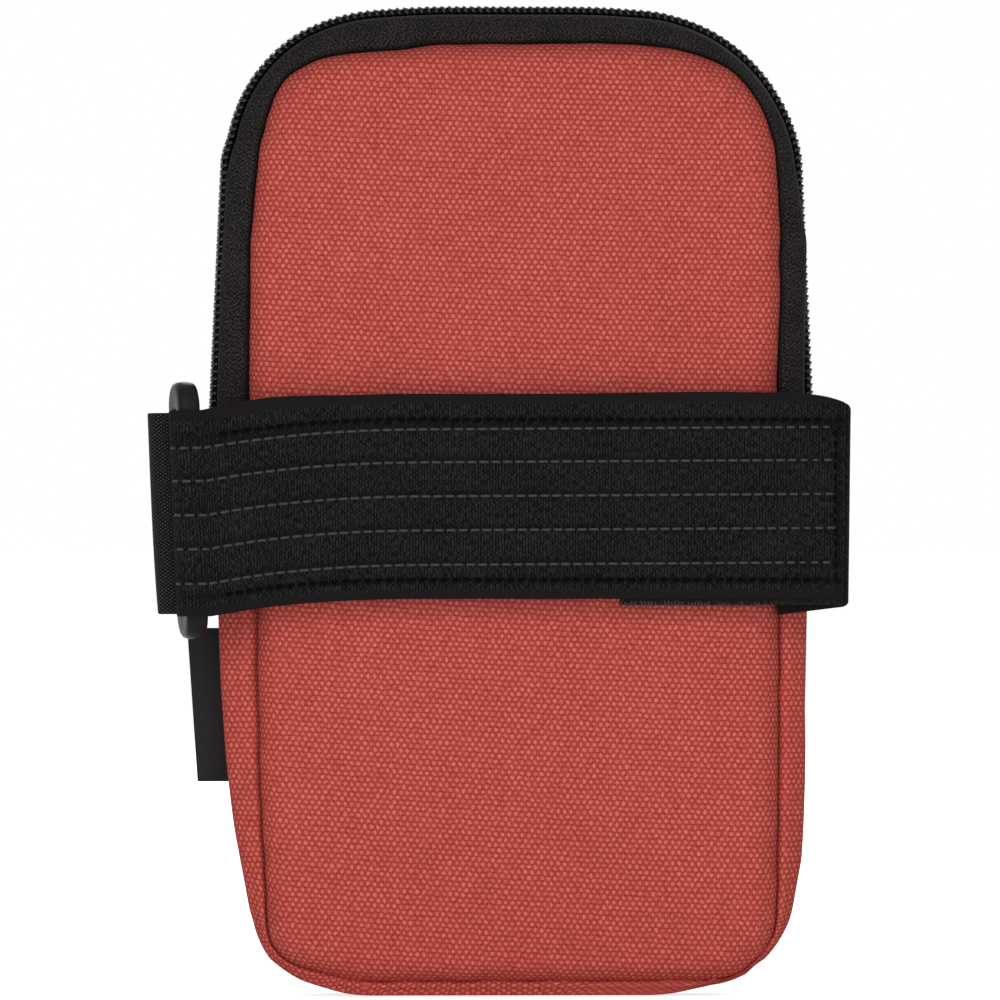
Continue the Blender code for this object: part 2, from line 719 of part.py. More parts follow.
def between(start, end, steps, bend=False):
    """Points between two places, ends left out; bend makes the depth ease in and out."""
    points = []
    for step in range(1, steps):
        share = step / steps
        depth = ease(share) if bend else share
        points.append((start[0] + (end[0] - start[0]) * share, start[1] + (end[1] - start[1]) * depth))
    return points


def level_run(start_x, end_x, y, steps):
    """Points from one side to the other at one depth, both ends among them."""
    start, end = (start_x, y), (end_x, y)
    return [start] + between(start, end, steps) + [end]


def strap(group, material):
    """Elastic from the right seam: out, folded back across the pouch, and round the ring's front bar."""
    fold = (STRAP_REACH - STRAP_FOLD_RADIUS - ELASTIC / 2, UNDER_Y + STRAP_FOLD_RADIUS)
    root = (SEAM_HALF_WIDTH + SEAT_GAP, -SEAM_DEPTH)
    turn = arc(fold, STRAP_FOLD_RADIUS, 90, -90, FOLD_STEPS)
    wrap = arc((WRAP_X, WRAP_Y), WRAP_RADIUS, 90, 270, WRAP_STEPS)
    route = [root] + between(root, turn[0], ROOT_STEPS, bend=True) + turn
    route += between(turn[-1], wrap[0], SPAN_STEPS) + wrap
    return ribbon("strap", route, STRAP_WIDTH, ELASTIC, group, material)


def tail_route():
    """Route of the tail: from the ring's wrap down to the stack of tapes and on to its end."""
    start = (WRAP_X + SEAT_GAP, TAIL_START_Y)
    level = (start[0] + TAIL_RISE_RUN, TAIL_Y)
    end = (STRAP_REACH - TAIL_END_GAP, TAIL_Y)
    rise = between(start, level, RISE_STEPS, bend=True)
    return [start] + rise + [level] + between(level, end, SPAN_STEPS) + [end]


def tail_pieces(group, elastic, loop, hook):
    """The tail with the loop tape and the hook tape sewn under it."""
    tail = ribbon("strap_tail", tail_route(), STRAP_WIDTH, ELASTIC, group, elastic)
    start = WRAP_X + SEAT_GAP + TAIL_RISE_RUN
    end = STRAP_REACH - TAIL_END_GAP
    split = end - HOOK_LENGTH
    loop_y = TAIL_Y + ELASTIC / 2 + SEAT_GAP + LOOP_TAPE / 2
    soft = ribbon("tail_loop_tape", level_run(start, split - SEAT_GAP, loop_y, SPAN_STEPS),
                  LOOP_TAPE_WIDTH, LOOP_TAPE, group, loop)
    drop = STRAP_WIDTH / 2 - HOOK_TAPE_WIDTH / 2 + HOOK_OVERHANG
    patch = ribbon("hook_patch", level_run(split, end, HOOK_Y, PATCH_STEPS),
                   HOOK_TAPE_WIDTH, HOOK_TAPE, group, hook, drop=drop)
    return tail, soft, patch


def strap_loop_tape(group, material):
    """Loop tape sewn on the strap's outer face across the pouch, which the hook tape grips."""
    start = WRAP_X + SEAT_GAP + TAIL_RISE_RUN
    end = STRAP_REACH - STRAP_FOLD_RADIUS - ELASTIC - TAIL_END_GAP
    route = level_run(start, end, ROOT_LOOP_Y, SPAN_STEPS)
    return ribbon("strap_loop_tape", route, LOOP_TAPE_WIDTH, LOOP_TAPE, group, material)


def ring(group, material):
    """Moulded ring: one round bar bent to a slot, through the webbing and the strap's wrap."""
    half_gap = (RING_SLOT + RING_BAR) / 2
    half_height = (RING_HEIGHT - RING_BAR) / 2
    curve = bpy.data.curves.new("ring_route", "CURVE")
    curve.dimensions = "3D"
    curve.bevel_depth = RING_HALF_BAR
    curve.bevel_resolution = BAR_RESOLUTION
    spline = curve.splines.new("POLY")
    points = []
    for sx, sz, start in ((1, 1, 0), (-1, 1, 90), (-1, -1, 180), (1, -1, 270)):
        centre = (sx * (half_gap - RING_CORNER), sz * (half_height - RING_CORNER))
        points += arc(centre, RING_CORNER, start, start + 90, CORNER_STEPS)
    spline.points.add(len(points) - 1)
    for point, (across, up) in zip(spline.points, points):
        point.co = (across, 0, up, 1)
    spline.use_cyclic_u = True
    obj = bpy.data.objects.new("ring", curve)
    group.objects.link(obj)
    curve.materials.append(material)
    return obj


def place_ring(obj, group):
    """Turn the ring from the webbing to the strap, lean it with them, and hang it on its pivot."""
    front = Vector((-RING_FRONT_X, RING_FRONT_Y, 0))
    rear = Vector((RING_REAR_X, RING_REAR_Y, 0))
    turn = math.atan2((front - rear).y, (front - rear).x)
    centre = (front + rear) / 2
    centre.z = strap_middle(-RING_FRONT_X) + RING_LIFT
    lean = Matrix.Rotation(-math.radians(RING_LEAN_DEG), 4, "Y")
    obj.matrix_world = Matrix.Translation(centre) @ lean @ Matrix.Rotation(turn, 4, "Z")
    rear.z = centre.z
    pivot("rear_bar_line", rear, (obj,), group)


def ring_webbing(group, material):
    """Webbing folded round the ring's rear bar, both plies sewn in the left seam."""
    apart = RING_HALF_BAR + SEAT_GAP + WEBBING / 2
    root_x = -SEAM_HALF_WIDTH - SEAT_GAP
    root_y = -SEAM_DEPTH + SEAT_GAP - WEBBING / 2
    inner = (RING_REAR_X + apart / 2, RING_REAR_Y + apart)
    outer = (RING_REAR_X + apart / 2, RING_REAR_Y - apart)
    fold_x = -WEBBING_REACH + WEBBING / 2 + apart
    turn = arc((fold_x, RING_REAR_Y), apart, 90, 270, WRAP_STEPS)
    start = (root_x, root_y + SEAT_GAP)
    end = (root_x, root_y - WEBBING)
    route = [start] + between(start, inner, ROOT_STEPS, bend=True) + [inner] + turn + [outer]
    route += between(outer, end, ROOT_STEPS, bend=True) + [end]
    level = strap_middle(-RING_FRONT_X)
    return ribbon("ring_webbing", route, WEBBING_WIDTH, WEBBING, group, material, level)


def side_label(group, material):
    """Folded label: two thin plies from the front seam, joined by the fold at their outer end."""
    radius = (LABEL_PLY + SEAT_GAP) / 2
    y = SEAM_DEPTH - SHELL + radius
    root_x = -SEAM_HALF_WIDTH - SEAT_GAP
    fold_x = -LABEL_REACH + radius + LABEL_PLY / 2
    turn = arc((fold_x, y), radius, 270, 90, LABEL_FOLD_STEPS)
    route = [(root_x, y - radius)] + turn + [(root_x, y + radius)]
    rows = [[Vector((x, depth, LABEL_LEVEL + dz)) for dz in (-LABEL_HEIGHT / 2, LABEL_HEIGHT / 2)]
            for x, depth in route]
    return solidify(loft("side_label", rows, group, material), LABEL_PLY, 0)


# Pivots

def pivot(name, place, children, group):
    """An empty on a joint's axis, with the pieces that turn on it as its children."""
    empty = bpy.data.objects.new(name, None)
    empty.empty_display_size = RING_HEIGHT
    empty.location = place
    group.objects.link(empty)
    bpy.context.view_layer.update()
    for child in children:
        child.parent = empty
        child.matrix_parent_inverse = empty.matrix_world.inverted()
    return empty


def build():
    """Make every piece of the pouch."""
    clear_scene()
    parts = make_collection(OBJECT_NAME)
    cutters = make_collection("cutters")
    red = finish("red_canvas", (0.46, 0.078, 0.061), 0.85)
    black_tape = finish("zip_tape_black", (0.018, 0.016, 0.016), 0.9)
    coil = finish("coil_black", (0.012, 0.012, 0.012), 0.35)
    elastic = finish("elastic_black", (0.014, 0.014, 0.014), 0.9)
    web = finish("webbing_black", (0.022, 0.022, 0.022), 0.7)
    loop = finish("loop_black", (0.015, 0.015, 0.015), 1.0)
    hook = finish("hook_black", (0.020, 0.020, 0.020), 0.6)
    plastic = finish("ring_black", (0.025, 0.024, 0.024), 0.35)
    metal = finish("slider_black", (0.03, 0.03, 0.03), 0.4, 0.6)
    foam = finish("foam_white", (0.75, 0.74, 0.70), 0.95)
    lining = finish("lining_grey", (0.10, 0.10, 0.105), 0.8)
    label = finish("label_black", (0.020, 0.018, 0.020), 0.7)

    panel_layers(("back_panel", "back_foam", "back_lining"), -1, parts, red, foam, lining)
    binding("seam_binding_back", -1, parts, black_tape)
    gusset(parts, red, lining)
    half_cut = SEAT_GAP / 2
    front_names = ("front_panel", "front_foam", "front_lining")
    panel_layers(tuple(n + "_lower" for n in front_names), 1, parts, red, foam, lining)
    binding("seam_binding_front_lower", 1, parts, black_tape)
    for name in front_names + ("seam_binding_front",):
        keep_part(parts.objects[name + "_lower"], None, FOLD_HEIGHT - half_cut)
    panel_layers(tuple(n + "_upper" for n in front_names), 1, parts, red, foam, lining)
    binding("seam_binding_front_upper", 1, parts, black_tape)
    flap = [keep_part(parts.objects[name + "_upper"], FOLD_HEIGHT + half_cut, None)
            for name in front_names + ("seam_binding_front",)]

    down, up = (0, 0, -1), (0, 0, 1)
    foot = ((0, 0, WAIST_HEIGHT + SEAT_GAP), down)
    under_fold = ((0, 0, FOLD_HEIGHT - half_cut), up)
    over_fold = ((0, 0, FOLD_HEIGHT + half_cut), down)
    tape("zip_tape_back", -1, parts, black_tape, foot)
    for hand, way in (("left", 1), ("right", -1)):
        tape("zip_tape_front_" + hand, 1, parts, black_tape, foot, under_fold, ((0, 0, 0), (way, 0, 0)))
    flap.append(tape("zip_tape_front_upper", 1, parts, black_tape, over_fold))

    first = int((SLIDER_REST - SLIDER_LENGTH / 2 + POST_LENGTH + SEAT_GAP) / (TOOTH_PITCH / 2)) + 1
    low, high = FOLD_HEIGHT - half_cut, FOLD_HEIGHT + half_cut
    teeth("zip_teeth_back", -1, parts, coil, lambda k, n, p: first <= k < n - 1)
    teeth("zip_teeth_front_right", 1, parts, coil, lambda k, n, p: first <= k and p.x > 0 and p.y < low)
    teeth("zip_teeth_front_left", 1, parts, coil, lambda k, n, p: k < n - 1 and p.x < 0 and p.y < low)
    flap.append(teeth("zip_teeth_front_upper", 1, parts, coil, lambda k, n, p: p.y > high))
    body = slider(parts, cutters, metal)
    tab = pull(parts, metal)
    bpy.context.view_layer.update()
    tab.parent = body
    tab.matrix_parent_inverse = body.matrix_world.inverted()

    strap(parts, elastic)
    strap_loop_tape(parts, loop)
    tail = tail_pieces(parts, elastic, loop, hook)
    ring_webbing(parts, web)
    place_ring(ring(parts, plastic), parts)
    side_label(parts, label)

    pivot("fold_line", (0, PANEL_FACE, FOLD_HEIGHT), flap, parts)
    peel = (WRAP_X + SEAT_GAP / 2, TAIL_START_Y - ELASTIC / 2, strap_middle(WRAP_X))
    pivot("peel_line", peel, tail, parts)


build()
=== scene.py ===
"""Looks of the padded zip pouch with its elastic strap. Metres, +Z up, -Y is the strap side."""
import json
import math

import bmesh
import bpy
from mathutils import Matrix, Vector, noise


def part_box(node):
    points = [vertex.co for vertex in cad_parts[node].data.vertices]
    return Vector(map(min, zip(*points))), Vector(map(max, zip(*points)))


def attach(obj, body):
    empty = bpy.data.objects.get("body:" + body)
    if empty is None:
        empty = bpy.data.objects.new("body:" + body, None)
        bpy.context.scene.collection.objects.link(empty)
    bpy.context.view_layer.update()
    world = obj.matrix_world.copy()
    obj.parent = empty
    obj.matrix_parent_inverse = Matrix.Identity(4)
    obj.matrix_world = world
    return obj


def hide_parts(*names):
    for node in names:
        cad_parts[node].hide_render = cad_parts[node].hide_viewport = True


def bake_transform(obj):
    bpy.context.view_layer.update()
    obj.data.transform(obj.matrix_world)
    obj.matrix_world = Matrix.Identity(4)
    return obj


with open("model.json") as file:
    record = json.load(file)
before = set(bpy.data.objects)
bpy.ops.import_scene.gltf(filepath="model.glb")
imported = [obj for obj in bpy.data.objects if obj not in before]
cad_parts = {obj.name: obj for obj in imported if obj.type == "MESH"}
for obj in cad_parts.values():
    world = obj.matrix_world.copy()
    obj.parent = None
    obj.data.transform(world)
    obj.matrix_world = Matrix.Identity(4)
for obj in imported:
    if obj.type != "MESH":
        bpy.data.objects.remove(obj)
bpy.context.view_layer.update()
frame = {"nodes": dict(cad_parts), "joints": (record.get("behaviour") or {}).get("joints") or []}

# The room: a wide white floor, an even pale sky and five soft lamps. The camera looks level at the strap
# side, from a little to its left, through a long lens. Floor and sky are white to the camera and in
# reflections.
PIXEL = 0.192e-3
PICTURE_PIXELS = 1000
LENS_MM = 400
SENSOR_MM = 36
LOOK_AT = Vector((-0.0023, -0.010, 0.0952))
CAMERA_TURN = math.radians(-2)
FLOOR_SIZE = 40
FLOOR_DROP = 0.0002
FLOOR_WHITE = 0.9
FLOOR_GLOW = 0.76
SKY_LIGHT = 0.30
WHITE = (1, 1, 1, 1)
BLACK = (0, 0, 0, 1)
# Each lamp's name, its place, what it faces, its size and its power.
LAMPS = (("key_lamp", (-0.45, -1.6, 0.55), LOOK_AT, 1.1, 9.6),
         ("fill_lamp", (0.60, -1.6, 0.30), LOOK_AT, 1.2, 3.4),
         ("near_lamp", (-0.03, -0.32, 0.055), (-0.02, 0, 0.06), 0.12, 0.225),
         ("glint_lamp", (-0.40, -1.5, 0.95), LOOK_AT, 0.07, 1.4),
         ("back_lamp", (0.5, 1.6, 1.1), LOOK_AT, 1.2, 22))


class Shade:
    """A socket of a material: sums and products of it add Math nodes, and node() adds any other node."""

    def __init__(self, tree, socket=None):
        self.tree = tree
        self.socket = socket

    def node(self, kind, sockets=None, out=0, **settings):
        """Add a node: its settings first, then the values or links of its sockets."""
        made = self.tree.nodes.new("ShaderNode" + kind)
        for key, value in settings.items():
            setattr(made, key, value)
        for key, value in (sockets or {}).items():
            if isinstance(value, Shade):
                self.tree.links.new(value.socket, made.inputs[key])
            else:
                made.inputs[key].default_value = value
        return Shade(self.tree, made.outputs[out])

    def also(self, out):
        """Another output of the same node."""
        return Shade(self.tree, self.socket.node.outputs[out])

    def maths(self, operation, *others):
        """A Math node whose first value is this one."""
        return self.node("Math", dict(enumerate((self, *others))), operation=operation)

    def __add__(self, other):
        return self.maths("ADD", other)

    def __sub__(self, other):
        return self.maths("SUBTRACT", other)

    def __rsub__(self, other):
        return self.node("Math", {0: other, 1: self}, operation="SUBTRACT")

    def __mul__(self, other):
        return self.maths("MULTIPLY", other)

    def __truediv__(self, other):
        return self.maths("DIVIDE", other)

    def __pow__(self, other):
        return self.maths("POWER", other)

    __radd__ = __add__
    __rmul__ = __mul__

    def step(self, low, high):
        """0 below low, 1 above high, and a smooth rise between them."""
        return self.node("MapRange", {0: self, 1: low, 2: high}, interpolation_type="SMOOTHSTEP")

    def mix(self, near, far):
        """Colour that goes from near to far as this value goes from 0 to 1."""
        return self.node("Mix", {0: self, 6: near, 7: far}, out=2, data_type="RGBA")

    def axes(self, out=0):
        """One axis of this place, by default the first: also() gives the other two."""
        return self.node("SeparateXYZ", {0: self}, out=out)

    def grain(self, scale, detail):
        """Noise between 0 and 1 over this place."""
        return self.node("TexNoise", {"Vector": self, "Scale": scale, "Detail": detail})

    def bump(self, strength, distance):
        """The normal of a surface that this height raises."""
        return self.node("Bump", {"Height": self, "Strength": strength, "Distance": distance})


def material(name, **constants):
    """A new material with its constant values, and its tree to draw on."""
    made = bpy.data.materials.new(name)
    made.use_nodes = True
    shader = made.node_tree.nodes["Principled BSDF"]
    for key, value in constants.items():
        shader.inputs[key.replace("_", " ")].default_value = value
    return made, shader, Shade(made.node_tree)


def wire(shader, **sockets):
    """Link what changes over the surface to a shader's sockets."""
    for key, value in sockets.items():
        value.tree.links.new(value.socket, shader.inputs[key.replace("_", " ")])


def sees_white(tree):
    """1 for rays from the camera and for reflected and refracted ones, and 0 for those that bring light."""
    path = tree.node("LightPath")
    reflected = path.also("Is Glossy Ray").maths("MAXIMUM", path.also("Is Transmission Ray"))
    return path.maths("MAXIMUM", reflected)


def made_object(name, bm):
    """The object of a finished mesh, shaded smooth."""
    for face in bm.faces:
        face.smooth = True
    mesh = bpy.data.meshes.new(name)
    bm.to_mesh(mesh)
    bm.free()
    obj = bpy.data.objects.new(name, mesh)
    scene.collection.objects.link(obj)
    return obj


scene = bpy.context.scene
scene.view_settings.view_transform = "Standard"

camera_data = bpy.data.cameras.new("camera")
camera_data.sensor_width = SENSOR_MM
camera_data.lens = LENS_MM
camera = bpy.data.objects.new("camera", camera_data)
away = Vector((math.sin(CAMERA_TURN), -math.cos(CAMERA_TURN), 0))
camera.location = LOOK_AT + away * (PIXEL * PICTURE_PIXELS * LENS_MM / SENSOR_MM)
camera.rotation_euler = (-away).to_track_quat("-Z", "Y").to_euler()
scene.collection.objects.link(camera)
scene.camera = camera

for name, place, target, size, power in LAMPS:
    data = bpy.data.lights.new(name, "AREA")
    data.size = size
    data.energy = power
    lamp = bpy.data.objects.new(name, data)
    lamp.location = place
    lamp.rotation_euler = (Vector(target) - Vector(place)).to_track_quat("-Z", "Y").to_euler()
    scene.collection.objects.link(lamp)

world = bpy.data.worlds.new("sky")
scene.world = world
world.use_nodes = True
wire(world.node_tree.nodes["Background"],
     Color=sees_white(Shade(world.node_tree)).mix((SKY_LIGHT, SKY_LIGHT, SKY_LIGHT, 1), WHITE))

floor_bm = bmesh.new()
bmesh.ops.create_grid(floor_bm, x_segments=1, y_segments=1, size=FLOOR_SIZE / 2)
bmesh.ops.translate(floor_bm, vec=(0, 0, -FLOOR_DROP), verts=floor_bm.verts)
floor = made_object("floor", floor_bm)
floor_finish, floor_shader, floor_tree = material(
    "floor_white", Roughness=0.9, Specular_IOR_Level=0.0,
    Base_Color=(FLOOR_WHITE, FLOOR_WHITE, FLOOR_WHITE, 1), Emission_Strength=FLOOR_GLOW)
wire(floor_shader, Emission_Color=sees_white(floor_tree).mix(BLACK, WHITE))
floor.data.materials.append(floor_finish)

# Back panel: the red canvas of the strap side over its foam, sewn all round. The canvas is a coarse plain
# weave of 0.63 mm warp yarns and 1 mm weft yarns, and its edge rolls in to the seam, where the padding
# puckers a little.
BODY_HEIGHT = 0.1886
WAIST_HEIGHT = 0.096
SEAM_HALF_WIDTH = 0.0508
SIDE_BULGE = 0.0059
BOTTOM_BULGE = 0.0028
TOP_BULGE = 0.0052
CREST_HALF_WIDTH = SEAM_HALF_WIDTH + SIDE_BULGE
FLAT_HALF_WIDTH = 0.033
FOOT_RISE = 0.00079
FLANK_HEIGHT = 0.0384
TOP_FLAT_SHARE = 0.34
# Corners of the outlines: the length that the arc starts before the corner, and the arc's steps.
FLAT_END = (0.0006, 2)
FLANK_BEND = (0.012, 8)
TOP_BEND = (0.008, 8)
FOOT_STEPS = 24
SHOULDER_STEPS = 32
SEAM_DEPTH = 0.010
CROWN = 0.0035
PLATEAU_SHARE = 0.55
EDGE_SINK = 0.0017
EDGE_RISE = 0.0022
EDGE_SHARE = 0.090
EDGE_STEEPNESS = 0.94
CANVAS = 0.0007
SPINE_SHARE = 0.22
# The seam wanders sideways all along, and up and down near the top and the bottom.
SEAM_WANDER = 0.00022
WANDER_PER_METRE = 170
WANDER_SLICE = 0.03
UP_SLICE = 9
UP_START = 0.06
UP_START_RUN = 0.02
# The top seam is eased down, by less on the right, and at two tucks: each a place, a half width and a depth.
TOP_EASE = 0.0006
TOP_EASE_LOST = 0.5
TOP_EASE_RUN = 0.02
TOP_START = 0.172
TOP_START_RUN = 0.010
TOP_TUCKS = ((-0.027, 0.010, 0.0010), (0.034, 0.006, 0.0006))
PUCKER = 0.00040
PUCKER_SHARE = 0.05
PUCKERS_PER_METRE = 230
WAVE = 0.00035
WAVE_SHARE = 0.3
WAVES_ACROSS = 22
WAVES_UP = 26
WAVE_SLICE = 5
LINE_STEP = 0.0011
SAME_PLACE = 1e-6
BODY_MIDDLE = Vector((0, 0, 0.09))
STRAIGHT_ANGLE = math.radians(0.05)
PANEL_SHARES = (0, 0.0012, 0.004, 0.009, 0.014, 0.020, 0.030, 0.045, 0.065, 0.09, 0.12, 0.16, 0.20, 0.25,
                0.30, 0.36, 0.42, 0.48, 0.55, 0.62, 0.70, 0.78, 0.86, 0.93, 1)
WARP_PITCH = 0.000628
WEFT_PITCH = 0.00100
WEFT_SLOPE = 0.033
WEFT_SLOPE_LOW = 0.022
WEFT_BEND = 0.22
WEAVE_RELIEF = 0.00010
RED_DOT = (0.640, 0.150, 0.118, 1)
RED_YARN = (0.345, 0.037, 0.029, 1)
RED_GAP = (0.190, 0.011, 0.009, 1)
# How far the sewn pouch's left (-1) and right (1) edges lie from the even outline, by height.
SEAM_SHIFTS = {
    -1: ((0, 0.0066), (0.0035, 0.0066), (0.0046, 0.0048), (0.0056, 0.0027), (0.0071, 0.0017),
         (0.0098, 0.0013), (0.0146, 0.0017), (0.0223, 0.0017), (0.030, 0.0013), (0.045, 0.0011),
         (0.076, 0.0014), (0.096, 0), (0.118, 0), (0.130, -0.0002), (0.145, -0.0003), (0.153, 0.0004),
         (0.166, 0.0015), (0.171, 0.0010), (0.1745, 0.0002), (0.177, -0.0005), (0.180, 0), (0.191, 0.0004)),
    1: ((0, 0.0008), (0.0030, 0.0022), (0.0046, 0.0022), (0.0056, 0.0018), (0.0069, 0.0018),
        (0.0081, 0.0022), (0.0117, 0.0023), (0.0146, 0.0022), (0.030, 0.0020), (0.045, 0.0019),
        (0.066, 0.0013), (0.096, 0.0006), (0.118, 0.0006), (0.130, 0.0014), (0.145, 0.0017), (0.157, 0.0015),
        (0.166, 0.0008), (0.176, 0.0008), (0.179, 0.0012), (0.182, 0.0010), (0.187, 0.0003), (0.191, 0.0003))}
CREST_SHIFTS = {
    -1: ((0, 0.0054), (0.0012, 0.0050), (0.003, 0.0030), (0.007, 0.0018), (0.014, 0.0024), (0.022, 0.0019),
         (0.032, 0.0012), (0.060, 0), (0.118, -0.0006), (0.137, -0.0008), (0.145, -0.0006), (0.158, -0.0004),
         (0.165, 0.0010), (0.184, 0.0009), (0.1885, 0.0018), (0.191, 0.0025)),
    1: ((0, -0.0063), (0.0012, -0.0048), (0.003, -0.0004), (0.005, -0.0003), (0.007, 0.0008), (0.014, 0.0016),
        (0.026, 0.0023), (0.038, 0.0017), (0.055, 0.0010), (0.118, 0.0007), (0.145, 0.0022), (0.160, 0.0005),
        (0.172, -0.0008), (0.184, -0.0018), (0.187, -0.0022), (0.1893, -0.0012), (0.191, -0.0008))}


def rounded_run(corners):
    """Points along straight runs with an arc tangent to both runs at each inner corner.

    Each inner corner is (x, z, run, steps): its arc starts the length run before it.
    """
    points = [Vector(corners[0])]
    for before, corner, after in zip(corners, corners[1:], corners[2:]):
        middle = Vector(corner[:2])
        run, steps = corner[2:]
        to_start = (Vector(before[:2]) - middle).normalized()
        to_end = (Vector(after[:2]) - middle).normalized()
        half_turn = (math.pi - to_start.angle(to_end)) / 2
        start = middle + to_start * run
        end = middle + to_end * run
        if half_turn < STRAIGHT_ANGLE:
            points += [start.lerp(end, step / steps) for step in range(steps + 1)]
            continue
        radius = run / math.tan(half_turn)
        centre = middle + (to_start + to_end).normalized() * radius / math.cos(half_turn)
        out = (middle - centre).normalized()
        across = (end - start).normalized()
        for step in range(steps + 1):
            angle = half_turn * (2 * step / steps - 1)
            points.append(centre + (out * math.cos(angle) + across * math.sin(angle)) * radius)
    points.append(Vector(corners[-1][:2]))
    return points


def lower_run(waist, bottom, foot_share, flank_share, foot_rise, foot_run):
    """Right half of an outline, from the middle of the bottom up to the waist."""
    return rounded_run([(0, bottom), (FLAT_HALF_WIDTH, bottom, *FLAT_END),
                        (waist * foot_share, bottom + foot_rise, foot_run, FOOT_STEPS),
                        (waist * flank_share, FLANK_HEIGHT, *FLANK_BEND), (waist, WAIST_HEIGHT)])


def upper_run(waist, top, shoulder_share, drop, shoulder_run):
    """Right half of an outline, from the waist up to the middle of the top."""
    return rounded_run([(waist, WAIST_HEIGHT),
                        (waist * shoulder_share, top - drop, shoulder_run, SHOULDER_STEPS),
                        (waist * TOP_FLAT_SHARE, top, *TOP_BEND), (0, top)])


def mirrored(points):
    """The same points on the left side, in reverse order."""
    return [Vector((-p.x, p.y)) for p in reversed(points)]


def refined(near_line, far_line, step):
    """Both lines with points added where either has a gap longer than the step, kept in pairs."""
    near, far = [near_line[0]], [far_line[0]]
    for a, b, c, d in zip(near_line, near_line[1:], far_line, far_line[1:]):
        parts = max(1, math.ceil(max((b - a).length, (d - c).length) / step))
        near += [a.lerp(b, k / parts) for k in range(1, parts + 1)]
        far += [c.lerp(d, k / parts) for k in range(1, parts + 1)]
    return near, far


SEAM_LOWER = lower_run(SEAM_HALF_WIDTH, BOTTOM_BULGE,
                       foot_share=0.953, flank_share=0.971, foot_rise=0, foot_run=0.0127)
CREST_LOWER = lower_run(CREST_HALF_WIDTH, 0,
                        foot_share=0.892, flank_share=0.974, foot_rise=FOOT_RISE, foot_run=0.0164)
SEAM_UPPER = upper_run(SEAM_HALF_WIDTH, BODY_HEIGHT - TOP_BULGE,
                       shoulder_share=0.970, drop=0.0020, shoulder_run=0.0204)
CREST_UPPER = upper_run(CREST_HALF_WIDTH, BODY_HEIGHT,
                        shoulder_share=0.939, drop=0.0029, shoulder_run=0.0249)


def held(share):
    """A share kept between 0 and 1."""
    return min(max(share, 0), 1)


def smooth(share):
    """Smooth step from 0 to 1."""
    share = held(share)
    return share * share * (3 - 2 * share)


def humps(x, table):
    """Height at x of a row of round humps, each a place, a half width and a height."""
    return sum(height * math.exp(-((x - place) / width) ** 2) for place, width, height in table)


def shifted(point, shifts):
    """A point of the even outline, moved sideways to where the sewn pouch has it."""
    table = shifts[-1 if point.x < 0 else 1]
    for (low, near), (high, far) in zip(table, table[1:]):
        if point.y <= high:
            move = near + (far - near) * (point.y - low) / (high - low)
            break
    return Vector((point.x + move * smooth(abs(point.x) / FLAT_HALF_WIDTH), point.y))


def sewn_seam(point):
    """A point of the even seam as it is sewn: moved sideways, uneven, and eased down along the top."""
    ease = TOP_EASE * (1 - TOP_EASE_LOST * smooth(point.x / TOP_EASE_RUN)) + humps(point.x, TOP_TUCKS)
    spot = Vector((point.x, point.y, WANDER_SLICE)) * WANDER_PER_METRE
    end = smooth((abs(point.y - BODY_HEIGHT / 2) - UP_START) / UP_START_RUN)
    wander = Vector((noise.noise(spot), noise.noise(spot + Vector((0, 0, UP_SLICE))) * end)) * SEAM_WANDER
    eased_down = Vector((0, ease * smooth((point.y - TOP_START) / TOP_START_RUN)))
    return shifted(point, SEAM_SHIFTS) + wander - eased_down


def sewn_crest(point):
    """A point of the even crest as it is sewn."""
    return shifted(point, CREST_SHIFTS)


def seam_line(step=LINE_STEP):
    """The whole seam of a panel, anticlockwise from the middle of the bottom."""
    right = SEAM_LOWER + SEAM_UPPER[1:]
    line = right + mirrored(right)[1:]
    line = refined(line, line, step)[0][:-1]
    return [sewn_seam(p) for p in line]


def spine_point(point):
    """The nearest point of the upright middle line that a panel's rings are drawn in to."""
    low = BOTTOM_BULGE + BODY_HEIGHT * SPINE_SHARE
    high = BODY_HEIGHT - TOP_BULGE - BODY_HEIGHT * SPINE_SHARE
    return Vector((0, min(max(point.y, low), high)))


def dome(share):
    """Rise of the padding, from 0 at the seam to 1 on its plateau, at a share of the way in."""
    return 1 - (1 - min(share / PLATEAU_SHARE, 1)) ** 2


def padding(share):
    """Height of the panel over its seam at a share of the way in, with the edge rolled down to the seam."""
    crown = (CROWN - EDGE_RISE) * dome(share)
    fall = EDGE_STEEPNESS * max(0, 1 - share / EDGE_SHARE)
    low = math.sqrt(1 - EDGE_STEEPNESS ** 2)
    return crown + (EDGE_RISE + EDGE_SINK) * (math.sqrt(1 - fall ** 2) - low) / (1 - low) - EDGE_SINK


def weft_drift(x, z):
    """The weft runs down to the right by 1 to 4 degrees, more at the bottom and on the left."""
    low = 1 - smooth(z / BODY_HEIGHT)
    return x * (WEFT_SLOPE + WEFT_SLOPE_LOW * low) - x * x * WEFT_BEND


def extruded(bm, edges):
    """Extrude a row of edges: the new points, and the new edges between them."""
    made = bmesh.ops.extrude_edge_only(bm, edges=edges)["geom"]
    verts = {v for v in made if isinstance(v, bmesh.types.BMVert)}
    return verts, [e for e in made if isinstance(e, bmesh.types.BMEdge) and verts.issuperset(e.verts)]


